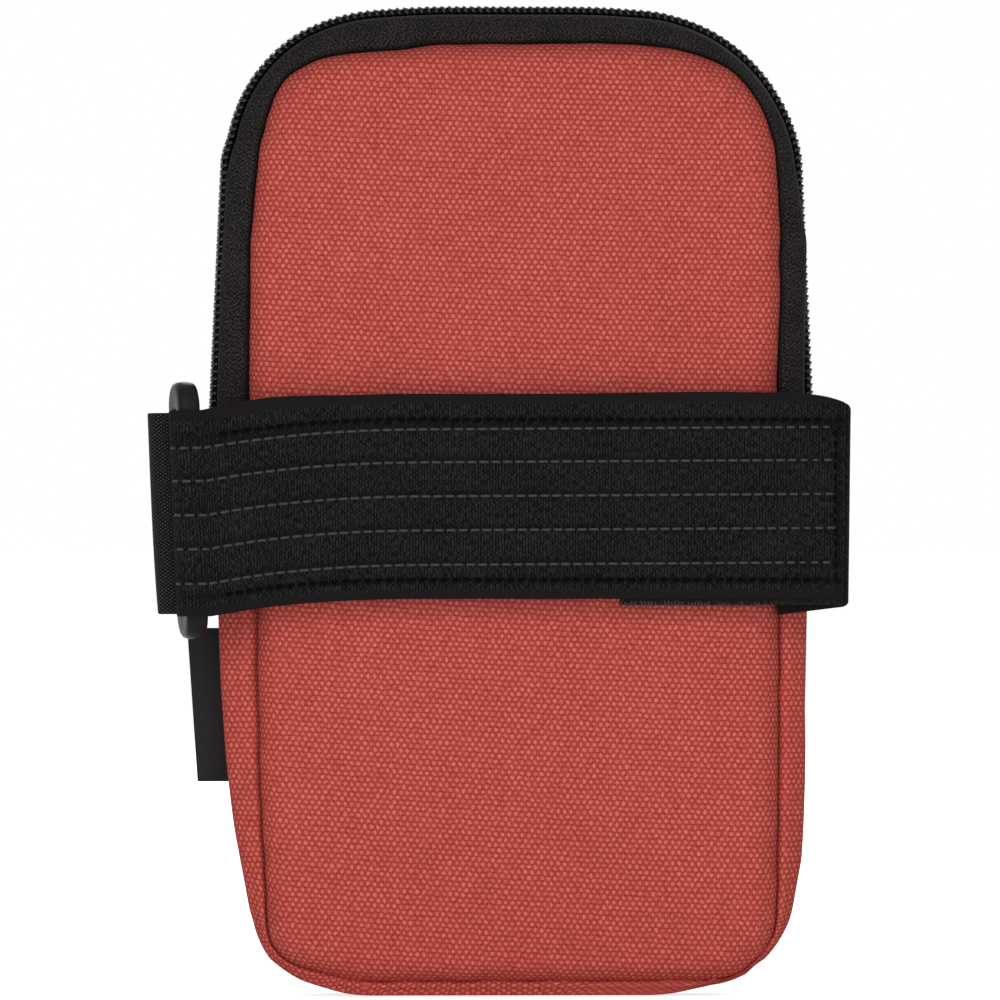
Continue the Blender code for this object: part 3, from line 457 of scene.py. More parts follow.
def sewn_out(name, rows, uvs, closed=False, inside=BODY_MIDDLE, weld=False):
    """Extrude a row of edges from row to row, with the place of each point in the weave as its UV."""
    bm = bmesh.new()
    layer = bm.loops.layers.uv.new("weave")
    spots = {}
    current = [bm.verts.new(p) for p in rows[0]]
    for vert, spot in zip(current, uvs[0]):
        spots[vert] = spot
    ends = current[1:] + current[:1] if closed else current[1:]
    edges = [bm.edges.new(pair) for pair in zip(current, ends)]
    for row, places in zip(rows[1:], uvs[1:]):
        fresh, edges = extruded(bm, edges)
        rank = {vert: i for i, vert in enumerate(current)}
        order = {}
        for vert in fresh:
            source = next(e.other_vert(vert) for e in vert.link_edges if e.other_vert(vert) in rank)
            order[rank[source]] = vert
        current = [order[i] for i in range(len(row))]
        for vert, point, spot in zip(current, row, places):
            vert.co = point
            spots[vert] = spot
    for face in bm.faces:
        for corner in face.loops:
            corner[layer].uv = spots[corner.vert]
    if weld:
        bmesh.ops.remove_doubles(bm, verts=bm.verts, dist=SAME_PLACE)
    bm.normal_update()
    if sum(f.normal.dot(f.calc_center_median() - inside) for f in bm.faces) < 0:
        bmesh.ops.reverse_faces(bm, faces=bm.faces)
    return made_object(name, bm)


def thick(obj, thickness, offset=-1.0):
    """Give a sheet its thickness: offset -1 goes inward from its face, 0 goes both ways."""
    wall = obj.modifiers.new("thickness", "SOLIDIFY")
    wall.thickness = thickness
    wall.offset = offset
    wall.use_even_offset = True
    wall.use_quality_normals = True


def panel_skin(name, side):
    """Canvas of one padded panel, ring by ring from the seam in to the spine, with UVs along the cloth."""
    line = seam_line()
    spines = [spine_point(p) for p in line]
    rows = []
    for share in PANEL_SHARES:
        row = []
        for point, spine in zip(line, spines):
            flat = point.lerp(spine, share)
            rise = padding(share)
            near_rim = math.exp(-share / PUCKER_SHARE)
            pucker = PUCKER * near_rim * noise.noise(Vector((point.x, point.y, side)) * PUCKERS_PER_METRE)
            low_spot = Vector((flat.x * WAVES_ACROSS, flat.y * WAVES_UP, side * WAVE_SLICE))
            wave = WAVE * smooth(share / WAVE_SHARE) * noise.noise(low_spot)
            row.append(Vector((flat.x, side * (SEAM_DEPTH + rise + pucker + wave), flat.y)))
        rows.append(row)
    uvs = [[None] * len(line) for _ in rows]
    for j, spine in enumerate(spines):
        travelled = 0.0
        for i in range(len(rows) - 1, -1, -1):
            if i < len(rows) - 1:
                travelled += (rows[i][j] - rows[i + 1][j]).length
            way = (line[j] - spine).normalized()
            spot = spine + way * travelled
            uvs[i][j] = (spot.x, spot.y + weft_drift(spot.x, spot.y))
    return sewn_out(name, rows, uvs, closed=True, weld=True)


def on_cloth(tree):
    """A place in the weave in metres, and its distance across: also(1) gives the distance along."""
    spot = tree.node("UVMap", uv_map="weave")
    return spot, spot.axes()


def canvas(name, light, yarn, gap):
    """Plain weave: warp yarns float as light dots over broader weft yarns."""
    made, shader, tree = material(name, Roughness=0.9, Specular_IOR_Level=0.06)
    spot, place = on_cloth(tree)
    broad = spot.grain(scale=55, detail=2)
    slub = spot.grain(scale=420, detail=1)
    tangle = spot.grain(scale=1500, detail=2)
    fibre = spot.grain(scale=3400, detail=2)
    u = place / WARP_PITCH + slub * 0.5 + tangle * 0.7
    v = place.also(1) / WEFT_PITCH + slub.also("Color").axes(out=1) * 0.5
    v = v + tangle.also("Color").axes(out=1) * 0.55
    across = (u * math.pi).maths("SINE")
    along = (v * math.pi).maths("SINE")
    warp = across.maths("ABSOLUTE")
    weft = along.maths("ABSOLUTE")
    cell = tree.node("CombineXYZ", {0: u.maths("FLOOR"), 1: v.maths("FLOOR")})
    chance = cell.node("TexWhiteNoise", {"Vector": cell}, noise_dimensions="2D")
    dots = (across * along + weft * 0.8).step(-0.6, 1.7) * (0.62 + chance * 0.30 + fibre * 0.30)
    holes = (((1 - warp) * 0.75 + (1 - weft) * 0.72) * (0.10 + tangle * 1.6)).step(0.40, 1.60)
    colour = holes.mix(dots.mix(yarn, light), gap)
    tone = 0.76 + broad * 0.16 + chance * 0.08 + fibre * 0.26
    shade = tree.node("CombineXYZ", {0: tone, 1: tone, 2: tone})
    height = (warp * weft) ** 0.6 * 0.6 + dots * 0.4 + fibre * 0.25
    wire(shader, Base_Color=tree.node("VectorMath", {0: colour, 1: shade}, operation="MULTIPLY"),
         Normal=height.bump(strength=0.7, distance=WEAVE_RELIEF))
    return made


red_canvas = canvas("red_canvas", RED_DOT, RED_YARN, RED_GAP)
back_skin = panel_skin("back_panel_canvas", -1)
back_skin.data.materials.append(red_canvas)
thick(back_skin, CANVAS)
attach(back_skin, "pouch")
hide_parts("back_panel")

front_skin = panel_skin("front_panel_canvas", 1)
front_skin.data.materials.append(red_canvas)
thick(front_skin, CANVAS)
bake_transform(front_skin)
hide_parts("front_panel_lower", "front_panel_upper")

# Foam and lining: a sheet of closed-cell foam lies behind each canvas, and a thin woven lining over it. Both
# stop short of the seam.
SIDES = (("back", -1), ("front", 1))
SHELL = 0.0010
FOAM = 0.0026
LINING = 0.00042
SEAT_GAP = 0.0003
LAYER_STEP = 0.004
FOAM_MIDDLE = 0.0107
FOAM_CELLS = 1900
FOAM_RELIEF = 0.0001
FINE_RELIEF = 0.00005
FOAM_GREY = (0.62, 0.61, 0.57, 1)
FOAM_PALE = (0.78, 0.77, 0.73, 1)
LINING_WARP = 0.00035
LINING_WEFT = 0.0004
LINING_DARK = (0.075, 0.075, 0.08, 1)
LINING_LIGHT = (0.125, 0.125, 0.13, 1)
FOAM_SHARES = (0.08, 0.10, 0.13, 0.17, 0.22, 0.29, 0.37, 0.46, 0.55, 0.70, 0.85, 1)
LINING_SHARES = (0.028, 0.05, 0.08, 0.12, 0.17, 0.22, 0.29, 0.37, 0.46, 0.55, 0.70, 0.85, 1)


def layer_rows(side, shares, level, crown):
    """Rings of an inner layer and their places in its weave."""
    line = seam_line(LAYER_STEP)
    rows, uvs = [], []
    for share in shares:
        rise = crown * dome(share)
        flat = [p.lerp(spine_point(p), share) for p in line]
        rows.append([Vector((p.x, side * (level + rise), p.y)) for p in flat])
        uvs.append([(p.x, p.y) for p in flat])
    return rows, uvs


def foam_pad(name, side):
    """Foam with both faces, closed round its cut edge."""
    outer, outer_uvs = layer_rows(side, FOAM_SHARES, SEAM_DEPTH - SHELL - SEAT_GAP, CROWN)
    inner, inner_uvs = layer_rows(side, FOAM_SHARES, SEAM_DEPTH - SHELL, CROWN - FOAM - SEAT_GAP)
    return sewn_out(name, outer[::-1] + inner, outer_uvs[::-1] + inner_uvs, closed=True,
                    inside=BODY_MIDDLE + Vector((0, side * FOAM_MIDDLE, 0)), weld=True)


def on_solid(tree):
    """A place on a piece in metres, as it stands at rest."""
    return tree.node("TexCoord", out=3)


def checked(place, warp_pitch, weft_pitch):
    """A close plain weave: 1 and -1 in turn, where one yarn or the other lies on top."""
    across = (place * (math.pi / warp_pitch)).maths("SINE")
    return across * (place.also(1) * (math.pi / weft_pitch)).maths("SINE")


foam_finish, foam_shader, foam_tree = material("closed_cell_foam", Roughness=0.95, Specular_IOR_Level=0.2)
cells = foam_tree.node("TexVoronoi", {"Vector": on_solid(foam_tree), "Scale": FOAM_CELLS})
wire(foam_shader, Base_Color=cells.step(0.1, 0.7).mix(FOAM_GREY, FOAM_PALE),
     Normal=cells.bump(strength=0.5, distance=FOAM_RELIEF))

lining_finish, lining_shader, lining_tree = material("woven_lining", Roughness=0.7, Specular_IOR_Level=0.3)
lining_wave = checked(on_cloth(lining_tree)[1], LINING_WARP, LINING_WEFT)
wire(lining_shader, Base_Color=lining_wave.step(-0.8, 0.8).mix(LINING_DARK, LINING_LIGHT),
     Normal=lining_wave.bump(strength=0.4, distance=FINE_RELIEF))

for hand, side in SIDES:
    pad = foam_pad(hand + "_foam_pad", side)
    pad.data.materials.append(foam_finish)
    cloth = sewn_out(hand + "_lining_cloth", *layer_rows(side, LINING_SHARES, SEAM_DEPTH - SHELL - SEAT_GAP,
                                                         CROWN - FOAM - SEAT_GAP), closed=True, weld=True)
    cloth.data.materials.append(lining_finish)
    thick(cloth, LINING)
    if side < 0:
        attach(pad, "pouch")
        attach(cloth, "pouch")
        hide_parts("back_foam")
        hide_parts("back_lining")
    else:
        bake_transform(pad)
        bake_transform(cloth)
        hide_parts("front_foam_lower", "front_foam_upper")
        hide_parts("front_lining_lower", "front_lining_upper")

# Gusset: a strip of the same canvas round the bottom and up both sides to the zip, with its lining. Its weft
# runs along the strip, and it sinks to each seam beside a puff.
GUSSET_SIDE_FLAT = 0.0052
GUSSET_FOOT_FLAT = 0.0079
UPRIGHT_SHARE = 0.95
GUSSET_PUFF = 0.0006
PUFF_SHARE = 0.4
GUSSET_SINK = 0.0016
SINK_SHARE = 0.12
FOOT_SINK = 0.3
FOOT_UNEVEN = 0.55
UNEVEN_PER_METRE = 130
LINING_SINK = 0.0044
LINING_SINK_SHARE = 0.6
ALLOWANCE = 0.0016
ALLOWANCE_DROP = 0.0003
ACROSS_SHARES = (0, 0.03, 0.07, 0.12, 0.18, 0.26, 0.35, 0.45, 0.56, 0.68, 0.82, 1)


def walked(points):
    """Distance along a line of points at each of them."""
    total, lengths = 0.0, [0.0]
    for a, b in zip(points, points[1:]):
        total += (b - a).length
        lengths.append(total)
    return lengths


def cloth_places(rows, turned=False):
    """UVs of a strip: distance across each row from its middle, and distance along the middle of the rows."""
    along = walked([row[len(row) // 2] for row in rows])
    places = []
    for row, far in zip(rows, along):
        across = walked(row)
        middle = across[len(row) // 2]
        places.append([(far, d - middle) if turned else (d - middle, far) for d in across])
    return places


def turned_under(seam, edge, side, sink):
    """A point of the strip's seam allowance, which lies under the panel's edge."""
    flat_point = seam + (spine_point(seam) - seam).normalized() * ALLOWANCE
    return Vector((flat_point.x, side * (edge - sink - ALLOWANCE_DROP), flat_point.y))


def bulged(seam, crest, edge, flat, share, side, sink, sink_share):
    """A point on the quarter round from the seam up to the crest, which sinks to the seam beside a puff."""
    angle = math.radians(90) * share
    y = flat + (edge - flat) * math.cos(angle)
    y += GUSSET_PUFF * math.sin(math.pi * min(share / PUFF_SHARE, 1))
    y -= sink * max(0, 1 - share / sink_share) ** 2
    flat_point = seam.lerp(crest, math.sin(angle))
    return Vector((flat_point.x, side * y, flat_point.y))


def half_section(seam, crest, edge, flat, side, sink, sink_share=SINK_SHARE):
    """Half of a strip's cross section, from its seam allowance up to the crest."""
    return [turned_under(seam, edge, side, sink),
            *(bulged(seam, crest, edge, flat, share, side, sink, sink_share) for share in ACROSS_SHARES)]


def inward(line, distance):
    """An open line that runs anticlockwise, moved toward the inside of the outline."""
    moved = []
    for i, point in enumerate(line):
        way = (line[min(i + 1, len(line) - 1)] - line[max(i - 1, 0)]).normalized()
        moved.append(point - Vector((way.y, -way.x)) * distance)
    return moved


def gusset_rows(inset, edge, sink, foot_sink, sink_share=SINK_SHARE):
    """Cross sections of the gusset from the left waist, round the bottom, to the right waist."""
    seam, crest = refined(mirrored(SEAM_LOWER) + SEAM_LOWER[1:], mirrored(CREST_LOWER) + CREST_LOWER[1:],
                          LINE_STEP)
    seam = inward([sewn_seam(p) for p in seam], inset)
    crest = inward([sewn_crest(p) for p in crest], inset)
    rise_end = CREST_HALF_WIDTH * UPRIGHT_SHARE
    rows = []
    for near, top in zip(seam, crest):
        upright = smooth((abs(top.x) - FLAT_HALF_WIDTH) / (rise_end - FLAT_HALF_WIDTH))
        flat = GUSSET_FOOT_FLAT + (GUSSET_SIDE_FLAT - GUSSET_FOOT_FLAT) * upright - inset
        uneven = FOOT_UNEVEN * noise.noise(Vector((near.x, near.y, 0)) * UNEVEN_PER_METRE)
        sunk = sink * max(0, upright + (foot_sink + uneven) * (1 - upright))
        halves = [half_section(near, top, edge, flat, side, sunk, sink_share) for side in (-1, 1)]
        rows.append(halves[0] + halves[1][::-1])
    return rows


STRIP_EDGE = SEAM_DEPTH - SHELL - SEAT_GAP
outer_rows = gusset_rows(0, STRIP_EDGE, GUSSET_SINK, FOOT_SINK)
gusset_skin = sewn_out("gusset_canvas", outer_rows, cloth_places(outer_rows))
gusset_skin.data.materials.append(red_canvas)
thick(gusset_skin, CANVAS)
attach(gusset_skin, "pouch")
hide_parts("gusset")

inner_rows = gusset_rows(SHELL + SEAT_GAP, STRIP_EDGE - SHELL, LINING_SINK, 1, LINING_SINK_SHARE)
gusset_cloth = sewn_out("gusset_lining_cloth", inner_rows, cloth_places(inner_rows))
gusset_cloth.data.materials.append(lining_finish)
thick(gusset_cloth, LINING)
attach(gusset_cloth, "pouch")
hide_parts("gusset_lining")

# Zip tapes: two black tapes woven in a fine herringbone, sewn in the panel seams and bent over the top of the
# pouch until they meet under the coil.
TAPE = 0.00055
TAPE_GAP = 0.0018
TAPE_FLAT = 0.005
HERRINGBONE_WIDTH = 0.0011
HERRINGBONE_PITCH = 0.00085
HERRINGBONE_SLOPE = 0.9
TAPE_RELIEF = 0.00014
TAPE_BLACK = (0.0035, 0.0031, 0.0031, 1)
TAPE_GREY = (0.0480, 0.0415, 0.0405, 1)


def tape_rows(side):
    """Cross sections of one tape from the right waist, over the top, to the left waist."""
    seam, crest = refined(SEAM_UPPER + mirrored(SEAM_UPPER)[1:], CREST_UPPER + mirrored(CREST_UPPER)[1:],
                          LINE_STEP)
    rows = []
    for near, top in zip([sewn_seam(p) for p in seam], [sewn_crest(p) for p in crest]):
        row = half_section(near, top, STRIP_EDGE, TAPE_FLAT, side, GUSSET_SINK)
        row.append(Vector((top.x, side * (TAPE_FLAT + TAPE_GAP) / 2, top.y)))
        row.append(Vector((top.x, side * TAPE_GAP / 2, top.y)))
        rows.append(row)
    return rows


tape_finish, tape_shader, tape_tree = material("zip_tape", Roughness=0.9, Specular_IOR_Level=0.08)
tape_spot, tape_place = on_cloth(tape_tree)
tape_zig = tape_place.maths("PINGPONG", HERRINGBONE_WIDTH) * HERRINGBONE_SLOPE
tape_rib = ((tape_zig + tape_place.also(1)) * (2 * math.pi / HERRINGBONE_PITCH)).maths("SINE")
tape_grain = tape_spot.grain(scale=2300, detail=3)
tape_broad = tape_spot.grain(scale=160, detail=1)
tape_tone = (tape_rib * 0.10 + tape_grain * 1.5 + tape_broad * 0.2).step(0.62, 1.22)
wire(tape_shader, Base_Color=tape_tone.mix(TAPE_BLACK, TAPE_GREY),
     Normal=tape_tone.bump(strength=0.7, distance=TAPE_RELIEF))

for hand, side in SIDES:
    rows = tape_rows(side)
    tape = sewn_out("zip_tape_" + hand + "_cloth", rows, cloth_places(rows))
    tape.data.materials.append(tape_finish)
    thick(tape, TAPE)
    if side < 0:
        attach(tape, "pouch")
        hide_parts("zip_tape_back")
    else:
        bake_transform(tape)
        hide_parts("zip_tape_front_left", "zip_tape_front_right", "zip_tape_front_upper")

# Seam bindings: inside, the cut edges of panel, gusset and tape are bound in a black tape folded over them.
# It is woven as the zip's tapes are, and thinner.
BINDING_WIDTH = 0.005
BINDING_THICKNESS = 0.0016
BINDING_START = 0.0022
BINDING_LEVEL = 0.0075
BINDING_FOLD = 0.0002
BINDING_TAPE = 0.00033
BINDING_STEP = 0.003

binding_line = seam_line(BINDING_STEP)
for hand, side in SIDES:
    rows = []
    for run, level in ((0, 0), (BINDING_WIDTH, 0), (BINDING_WIDTH + BINDING_FOLD, BINDING_THICKNESS / 2),
                       (BINDING_WIDTH, BINDING_THICKNESS), (0, BINDING_THICKNESS)):
        flat = [p + (spine_point(p) - p).normalized() * (BINDING_START + run) for p in binding_line]
        rows.append([Vector((p.x, side * (BINDING_LEVEL - level), p.y)) for p in flat])
    places = [[(run, far) for far in walked(row)] for run, row in enumerate(rows)]
    binding = sewn_out("seam_binding_" + hand + "_tape", rows, places, closed=True)
    binding.data.materials.append(tape_finish)
    thick(binding, BINDING_TAPE)
    if side < 0:
        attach(binding, "pouch")
        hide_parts("seam_binding_back")
    else:
        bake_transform(binding)
        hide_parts("seam_binding_front_lower", "seam_binding_front_upper")

# Zip coil: one black nylon filament a side, wound round a cord and sewn on its tape. The loops of the two
# sides lock into each other along the crest.
TOOTH_PITCH = 0.00142
TOOTH_HEIGHT = 0.0019
TOOTH_REACH = 0.00035
COIL_HALF_WIDTH = 0.0030
FILAMENT = 0.00044
COIL_STEPS = 14
COIL_START = 0.0056
COIL_CORD = 0.00040
COIL_SINK = 0.0004
COIL_SQUARE = 0.72
COIL_BLACK = (0.0025, 0.0024, 0.0024, 1)
COIL_GREY = (0.0060, 0.0057, 0.0057, 1)


def point_along(distance, line, lengths):
    """A point of a flat line and the normal on its right, at a distance from the line's start."""
    low, high = 0, len(lengths) - 1
    while high - low > 1:
        middle = (low + high) // 2
        if lengths[middle] <= distance:
            low = middle
        else:
            high = middle
    share = (distance - lengths[low]) / (lengths[high] - lengths[low])
    way = (line[high] - line[low]).normalized()
    return line[low].lerp(line[high], share), Vector((way.y, -way.x))


def tube(name, routes, radius):
    """Round yarns or filaments along routes, as one mesh."""
    curve = bpy.data.curves.new(name, "CURVE")
    curve.dimensions = "3D"
    curve.bevel_depth = radius
    curve.bevel_resolution = 1
    curve.use_fill_caps = True
    for route in routes:
        spline = curve.splines.new("POLY")
        spline.points.add(len(route) - 1)
        for point, place in zip(spline.points, route):
            point.co = (*place, 1)
    guide = bpy.data.objects.new(name + "_route", curve)
    scene.collection.objects.link(guide)
    bpy.context.view_layer.update()
    mesh = bpy.data.meshes.new_from_object(guide.evaluated_get(bpy.context.evaluated_depsgraph_get()))
    bpy.data.objects.remove(guide)
    bm = bmesh.new()
    bm.from_mesh(mesh)
    bpy.data.meshes.remove(mesh)
    bmesh.ops.remove_doubles(bm, verts=bm.verts, dist=SAME_PLACE)
    return made_object(name, bm)


def squared(wave):
    """A round wave made flatter on its crests, as a pressed loop is."""
    return math.copysign(abs(wave) ** COIL_SQUARE, wave)


zip_line = [sewn_crest(p) for p in CREST_UPPER + mirrored(CREST_UPPER)[1:]]
zip_lengths = walked(zip_line)
coil_middle = (COIL_HALF_WIDTH - TOOTH_REACH) / 2
coil_half = (COIL_HALF_WIDTH + TOOTH_REACH) / 2 - FILAMENT
coil_level = (TOOTH_HEIGHT - COIL_SINK) / 2
coil_rise = (TOOTH_HEIGHT + COIL_SINK) / 2 - FILAMENT
turns = int((zip_lengths[-1] - COIL_START) / TOOTH_PITCH) - 1

coil_finish, coil_shader, coil_tree = material("nylon_coil", Specular_IOR_Level=0.3)
coil_haze = on_solid(coil_tree).grain(scale=900, detail=2)
wire(coil_shader, Base_Color=coil_haze.mix(COIL_BLACK, COIL_GREY), Roughness=0.13 + coil_haze * 0.12)

for hand, side in SIDES:
    route, core = [], []
    for k in range(turns * COIL_STEPS + 1):
        turn = k / COIL_STEPS
        point, out = point_along(COIL_START + turn * TOOTH_PITCH, zip_line, zip_lengths)
        angle = 2 * math.pi * turn + (math.pi if side > 0 else 0)
        level = coil_level + coil_rise * squared(math.sin(angle))
        place = point + out * level
        route.append((place.x, side * (coil_middle + coil_half * squared(math.cos(angle))), place.y))
        if k % COIL_STEPS == 0:
            heart = point + out * coil_level
            core.append((heart.x, side * coil_middle, heart.y))
    coil = tube("zip_coil_" + hand, [route], FILAMENT)
    coil.data.materials.append(coil_finish)
    cord = tube("coil_cord_" + hand, [core], COIL_CORD)
    cord.data.materials.append(tape_finish)
    for piece in (coil, cord):
        if side < 0:
            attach(piece, "pouch")
        else:
            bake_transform(piece)
    if side < 0:
        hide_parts("zip_teeth_back")
    else:
        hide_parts("zip_teeth_front_left", "zip_teeth_front_right", "zip_teeth_front_upper")

# Slider and pull: a die-cast zinc body in satin black enamel rides the coil, with a pressed pull on its arch.
# Both keep the solids' shapes, with their sharp edges eased.
EASED_EDGE = 0.00018
SHARP_ANGLE = math.radians(40)
ENAMEL_DARK = (0.018, 0.018, 0.018, 1)
ENAMEL_LIGHT = (0.035, 0.035, 0.035, 1)


def soft_edge(obj, width, angle):
    """Round off the edges that turn by more than an angle."""
    edge = obj.modifiers.new("edge", "BEVEL")
    edge.width = width
    edge.segments = 2
    edge.limit_method = "ANGLE"
    edge.angle_limit = angle


enamel, enamel_shader, enamel_tree = material("black_enamel", Metallic=0.35, Specular_IOR_Level=0.4)
enamel_peel = on_solid(enamel_tree).grain(scale=1200, detail=2)
wire(enamel_shader, Base_Color=enamel_peel.mix(ENAMEL_DARK, ENAMEL_LIGHT),
     Roughness=0.28 + enamel_peel * 0.15, Normal=enamel_peel.bump(strength=0.15, distance=FINE_RELIEF))
for name in ("slider_body", "pull_tab"):
    solid = frame["nodes"][name]
    solid.data.materials.clear()
    solid.data.materials.append(enamel)
    solid.modifiers.new("one_skin", "WELD").merge_threshold = SAME_PLACE
    soft_edge(solid, EASED_EDGE, SHARP_ANGLE)

# Strap: a wide band of black ribbed elastic, sewn in the right seam, folded back across the pouch and taken
# round the ring's front bar. Loop tape is sewn on its outer face.
STRAP_WIDTH = 0.0392
ELASTIC = 0.0014
STRAP_HEIGHT = 0.0959
RING_DROP = 0.0033
DROP_START = 0.0155
DROP_END = 0.0587
DROP_POWER = 2.35
# The top edge rises a little before the ring and before the fold: each a place, a half width and a height.
TOP_RISES = ((-0.047, 0.010, 0.0008), (0.037, 0.018, 0.0004))
ROOT_SAG = 0.0032
FOLD_SAG = 0.0015
STRAP_REACH = 0.06465
PINCH_START = 0.0505
PINCH_TOP = 0.0024
PINCH_POWER = 3.2
PINCH_UP_POWER = 3
FOLD_RADIUS = 0.0017
FOLD_CORNER = 0.0007
CORNER_UP_POWER = 5
RING_FRONT_X = 0.0614
RING_BAR = 0.0042
WRAP_RADIUS = 0.0033
RING_LEAN = math.radians(2.3)
LEAN = math.tan(RING_LEAN)
LEAN_FADE = 0.012
FOLD_LEAN = -0.012
TAIL_RISE_RUN = 0.017
TAIL_END_GAP = 0.0014
LOOP_TAPE = 0.0007
LOOP_TAPE_WIDTH = 0.0345
BAND_POINTS = 15
BAND_CORNER = 0.0003
CORNER_LIMIT = 0.4
BAND_EDGE_ANGLE = math.radians(60)
ROUTE_STEP = 0.0010
SPLIT_DEG = 150
RIB_PITCH = 0.000567
KNIT_PITCH = 0.00044
ELASTIC_DARK = (0.0018, 0.0018, 0.0019, 1)
ELASTIC_LIGHT = (0.0245, 0.0248, 0.0252, 1)
SELVEDGE = (0.0100, 0.0080, 0.0085, 1)
SELVEDGE_TOP = 0.0021
SELVEDGE_BOTTOM = 0.0020
SELVEDGE_FADE = 0.0009
RIB_DEPTH = 0.00013
ROW_PULL = 0.0016
ROW_DEPTH = 0.00022
ROW_SHADE = 0.45
SPOT_HEIGHT = 0.0007
SPOT_CORE = 0.4
SPOT_WANDER = 0.0004
SPOT_SHADE = 0.8
PILE_DARK = (0.006, 0.006, 0.006, 1)
LOOP_LIGHT = (0.030, 0.030, 0.031, 1)
PILE_RELIEF = 0.0003
under_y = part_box("strap_loop_tape")[1].y + SEAT_GAP + ELASTIC / 2
tail_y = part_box("hook_patch")[0].y - SEAT_GAP - ELASTIC / 2
wrap_x = -RING_FRONT_X - RING_BAR / 2 - SEAT_GAP - ELASTIC / 2 + WRAP_RADIUS
wrap_y = under_y - WRAP_RADIUS


def strap_middle(x):
    """Height of the strap's middle line, which drops ever more steeply to the ring."""
    return STRAP_HEIGHT - RING_DROP * held((-x - DROP_START) / (DROP_END - DROP_START)) ** DROP_POWER


def toward_fold(x):
    """0 up to the start of the pinch and 1 at the fold."""
    return held((x - PINCH_START) / (STRAP_REACH - PINCH_START))


def pinch(place, share):
    """How far a point at a share of the width, -0.5 to 0.5, is drawn down.

    The top edge is drawn down where the strap folds at the right, and the fold's two corners are rounded.
    """
    end = held((place.x - STRAP_REACH + ELASTIC / 2) / FOLD_CORNER + 1)
    corner = FOLD_CORNER * (1 - math.sqrt(1 - end * end)) * (2 * share) ** CORNER_UP_POWER
    down = PINCH_TOP * toward_fold(place.x) ** PINCH_POWER - humps(place.x, TOP_RISES)
    return down * max(2 * share, 0) ** PINCH_UP_POWER + corner


def lean_at(x):
    """How much of the ring's lean a point of the strap takes, from 0 on the panel to 1 at the ring."""
    return smooth((-x - (RING_FRONT_X - RING_BAR - LEAN_FADE)) / LEAN_FADE)


def turned(centre, radius, start_deg, end_deg):
    """Points of an arc in plan."""
    steps = max(4, math.ceil(abs(math.radians(end_deg - start_deg)) * radius / ROUTE_STEP * 2))
    angles = [math.radians(start_deg + (end_deg - start_deg) * k / steps) for k in range(steps + 1)]
    return [Vector((centre[0] + radius * math.cos(a), centre[1] + radius * math.sin(a))) for a in angles]


def eased(start, end, bend=True):
    """Points between two places in plan, ends left out: their depth eases in and out, or runs straight."""
    steps = max(2, math.ceil((Vector(end) - Vector(start)).length / ROUTE_STEP))
    points = []
    for k in range(1, steps):
        share = k / steps
        depth = smooth(share) if bend else share
        points.append(Vector((start[0] + (end[0] - start[0]) * share,
                              start[1] + (end[1] - start[1]) * depth)))
    return points


def band_rows(route, width, level=None, drop=0.0, sag=None):
    """Upright rows of points across a flat band that follows a route in plan; sag hangs its lower edge."""
    rows = []
    for place in route:
        middle = (strap_middle(place.x) if level is None else level) - drop
        shift = LEAN * lean_at(place.x) + FOLD_LEAN * smooth(toward_fold(place.x))
        row = []
        for k in range(BAND_POINTS):
            share = k / (BAND_POINTS - 1) - 0.5
            up = width * share
            low = sag(place) * smooth(0.5 - share) if sag else 0.0
            row.append(Vector((place.x - shift * up, place.y, middle + up - pinch(place, share) - low)))
        rows.append(row)
    return rows


def band(name, rows, thickness, finish, corner=BAND_CORNER):
    """A woven band: the rows skinned, given their thickness and a soft edge, with UVs along and across."""
    obj = sewn_out(name, rows, cloth_places(rows, turned=True))
    obj.data.materials.append(finish)
    thick(obj, thickness, 0.0)
    soft_edge(obj, min(corner, thickness * CORNER_LIMIT), BAND_EDGE_ANGLE)
    return obj


def flat_band(name, start_x, end_x, y, width, thickness, finish, drop=0.0):
    """A band that lies straight along x at one depth."""
    start, end = Vector((start_x, y)), Vector((end_x, y))
    rows = band_rows([start, *eased(start, end, bend=False), end], width, drop=drop)
    return band(name, rows, thickness, finish)


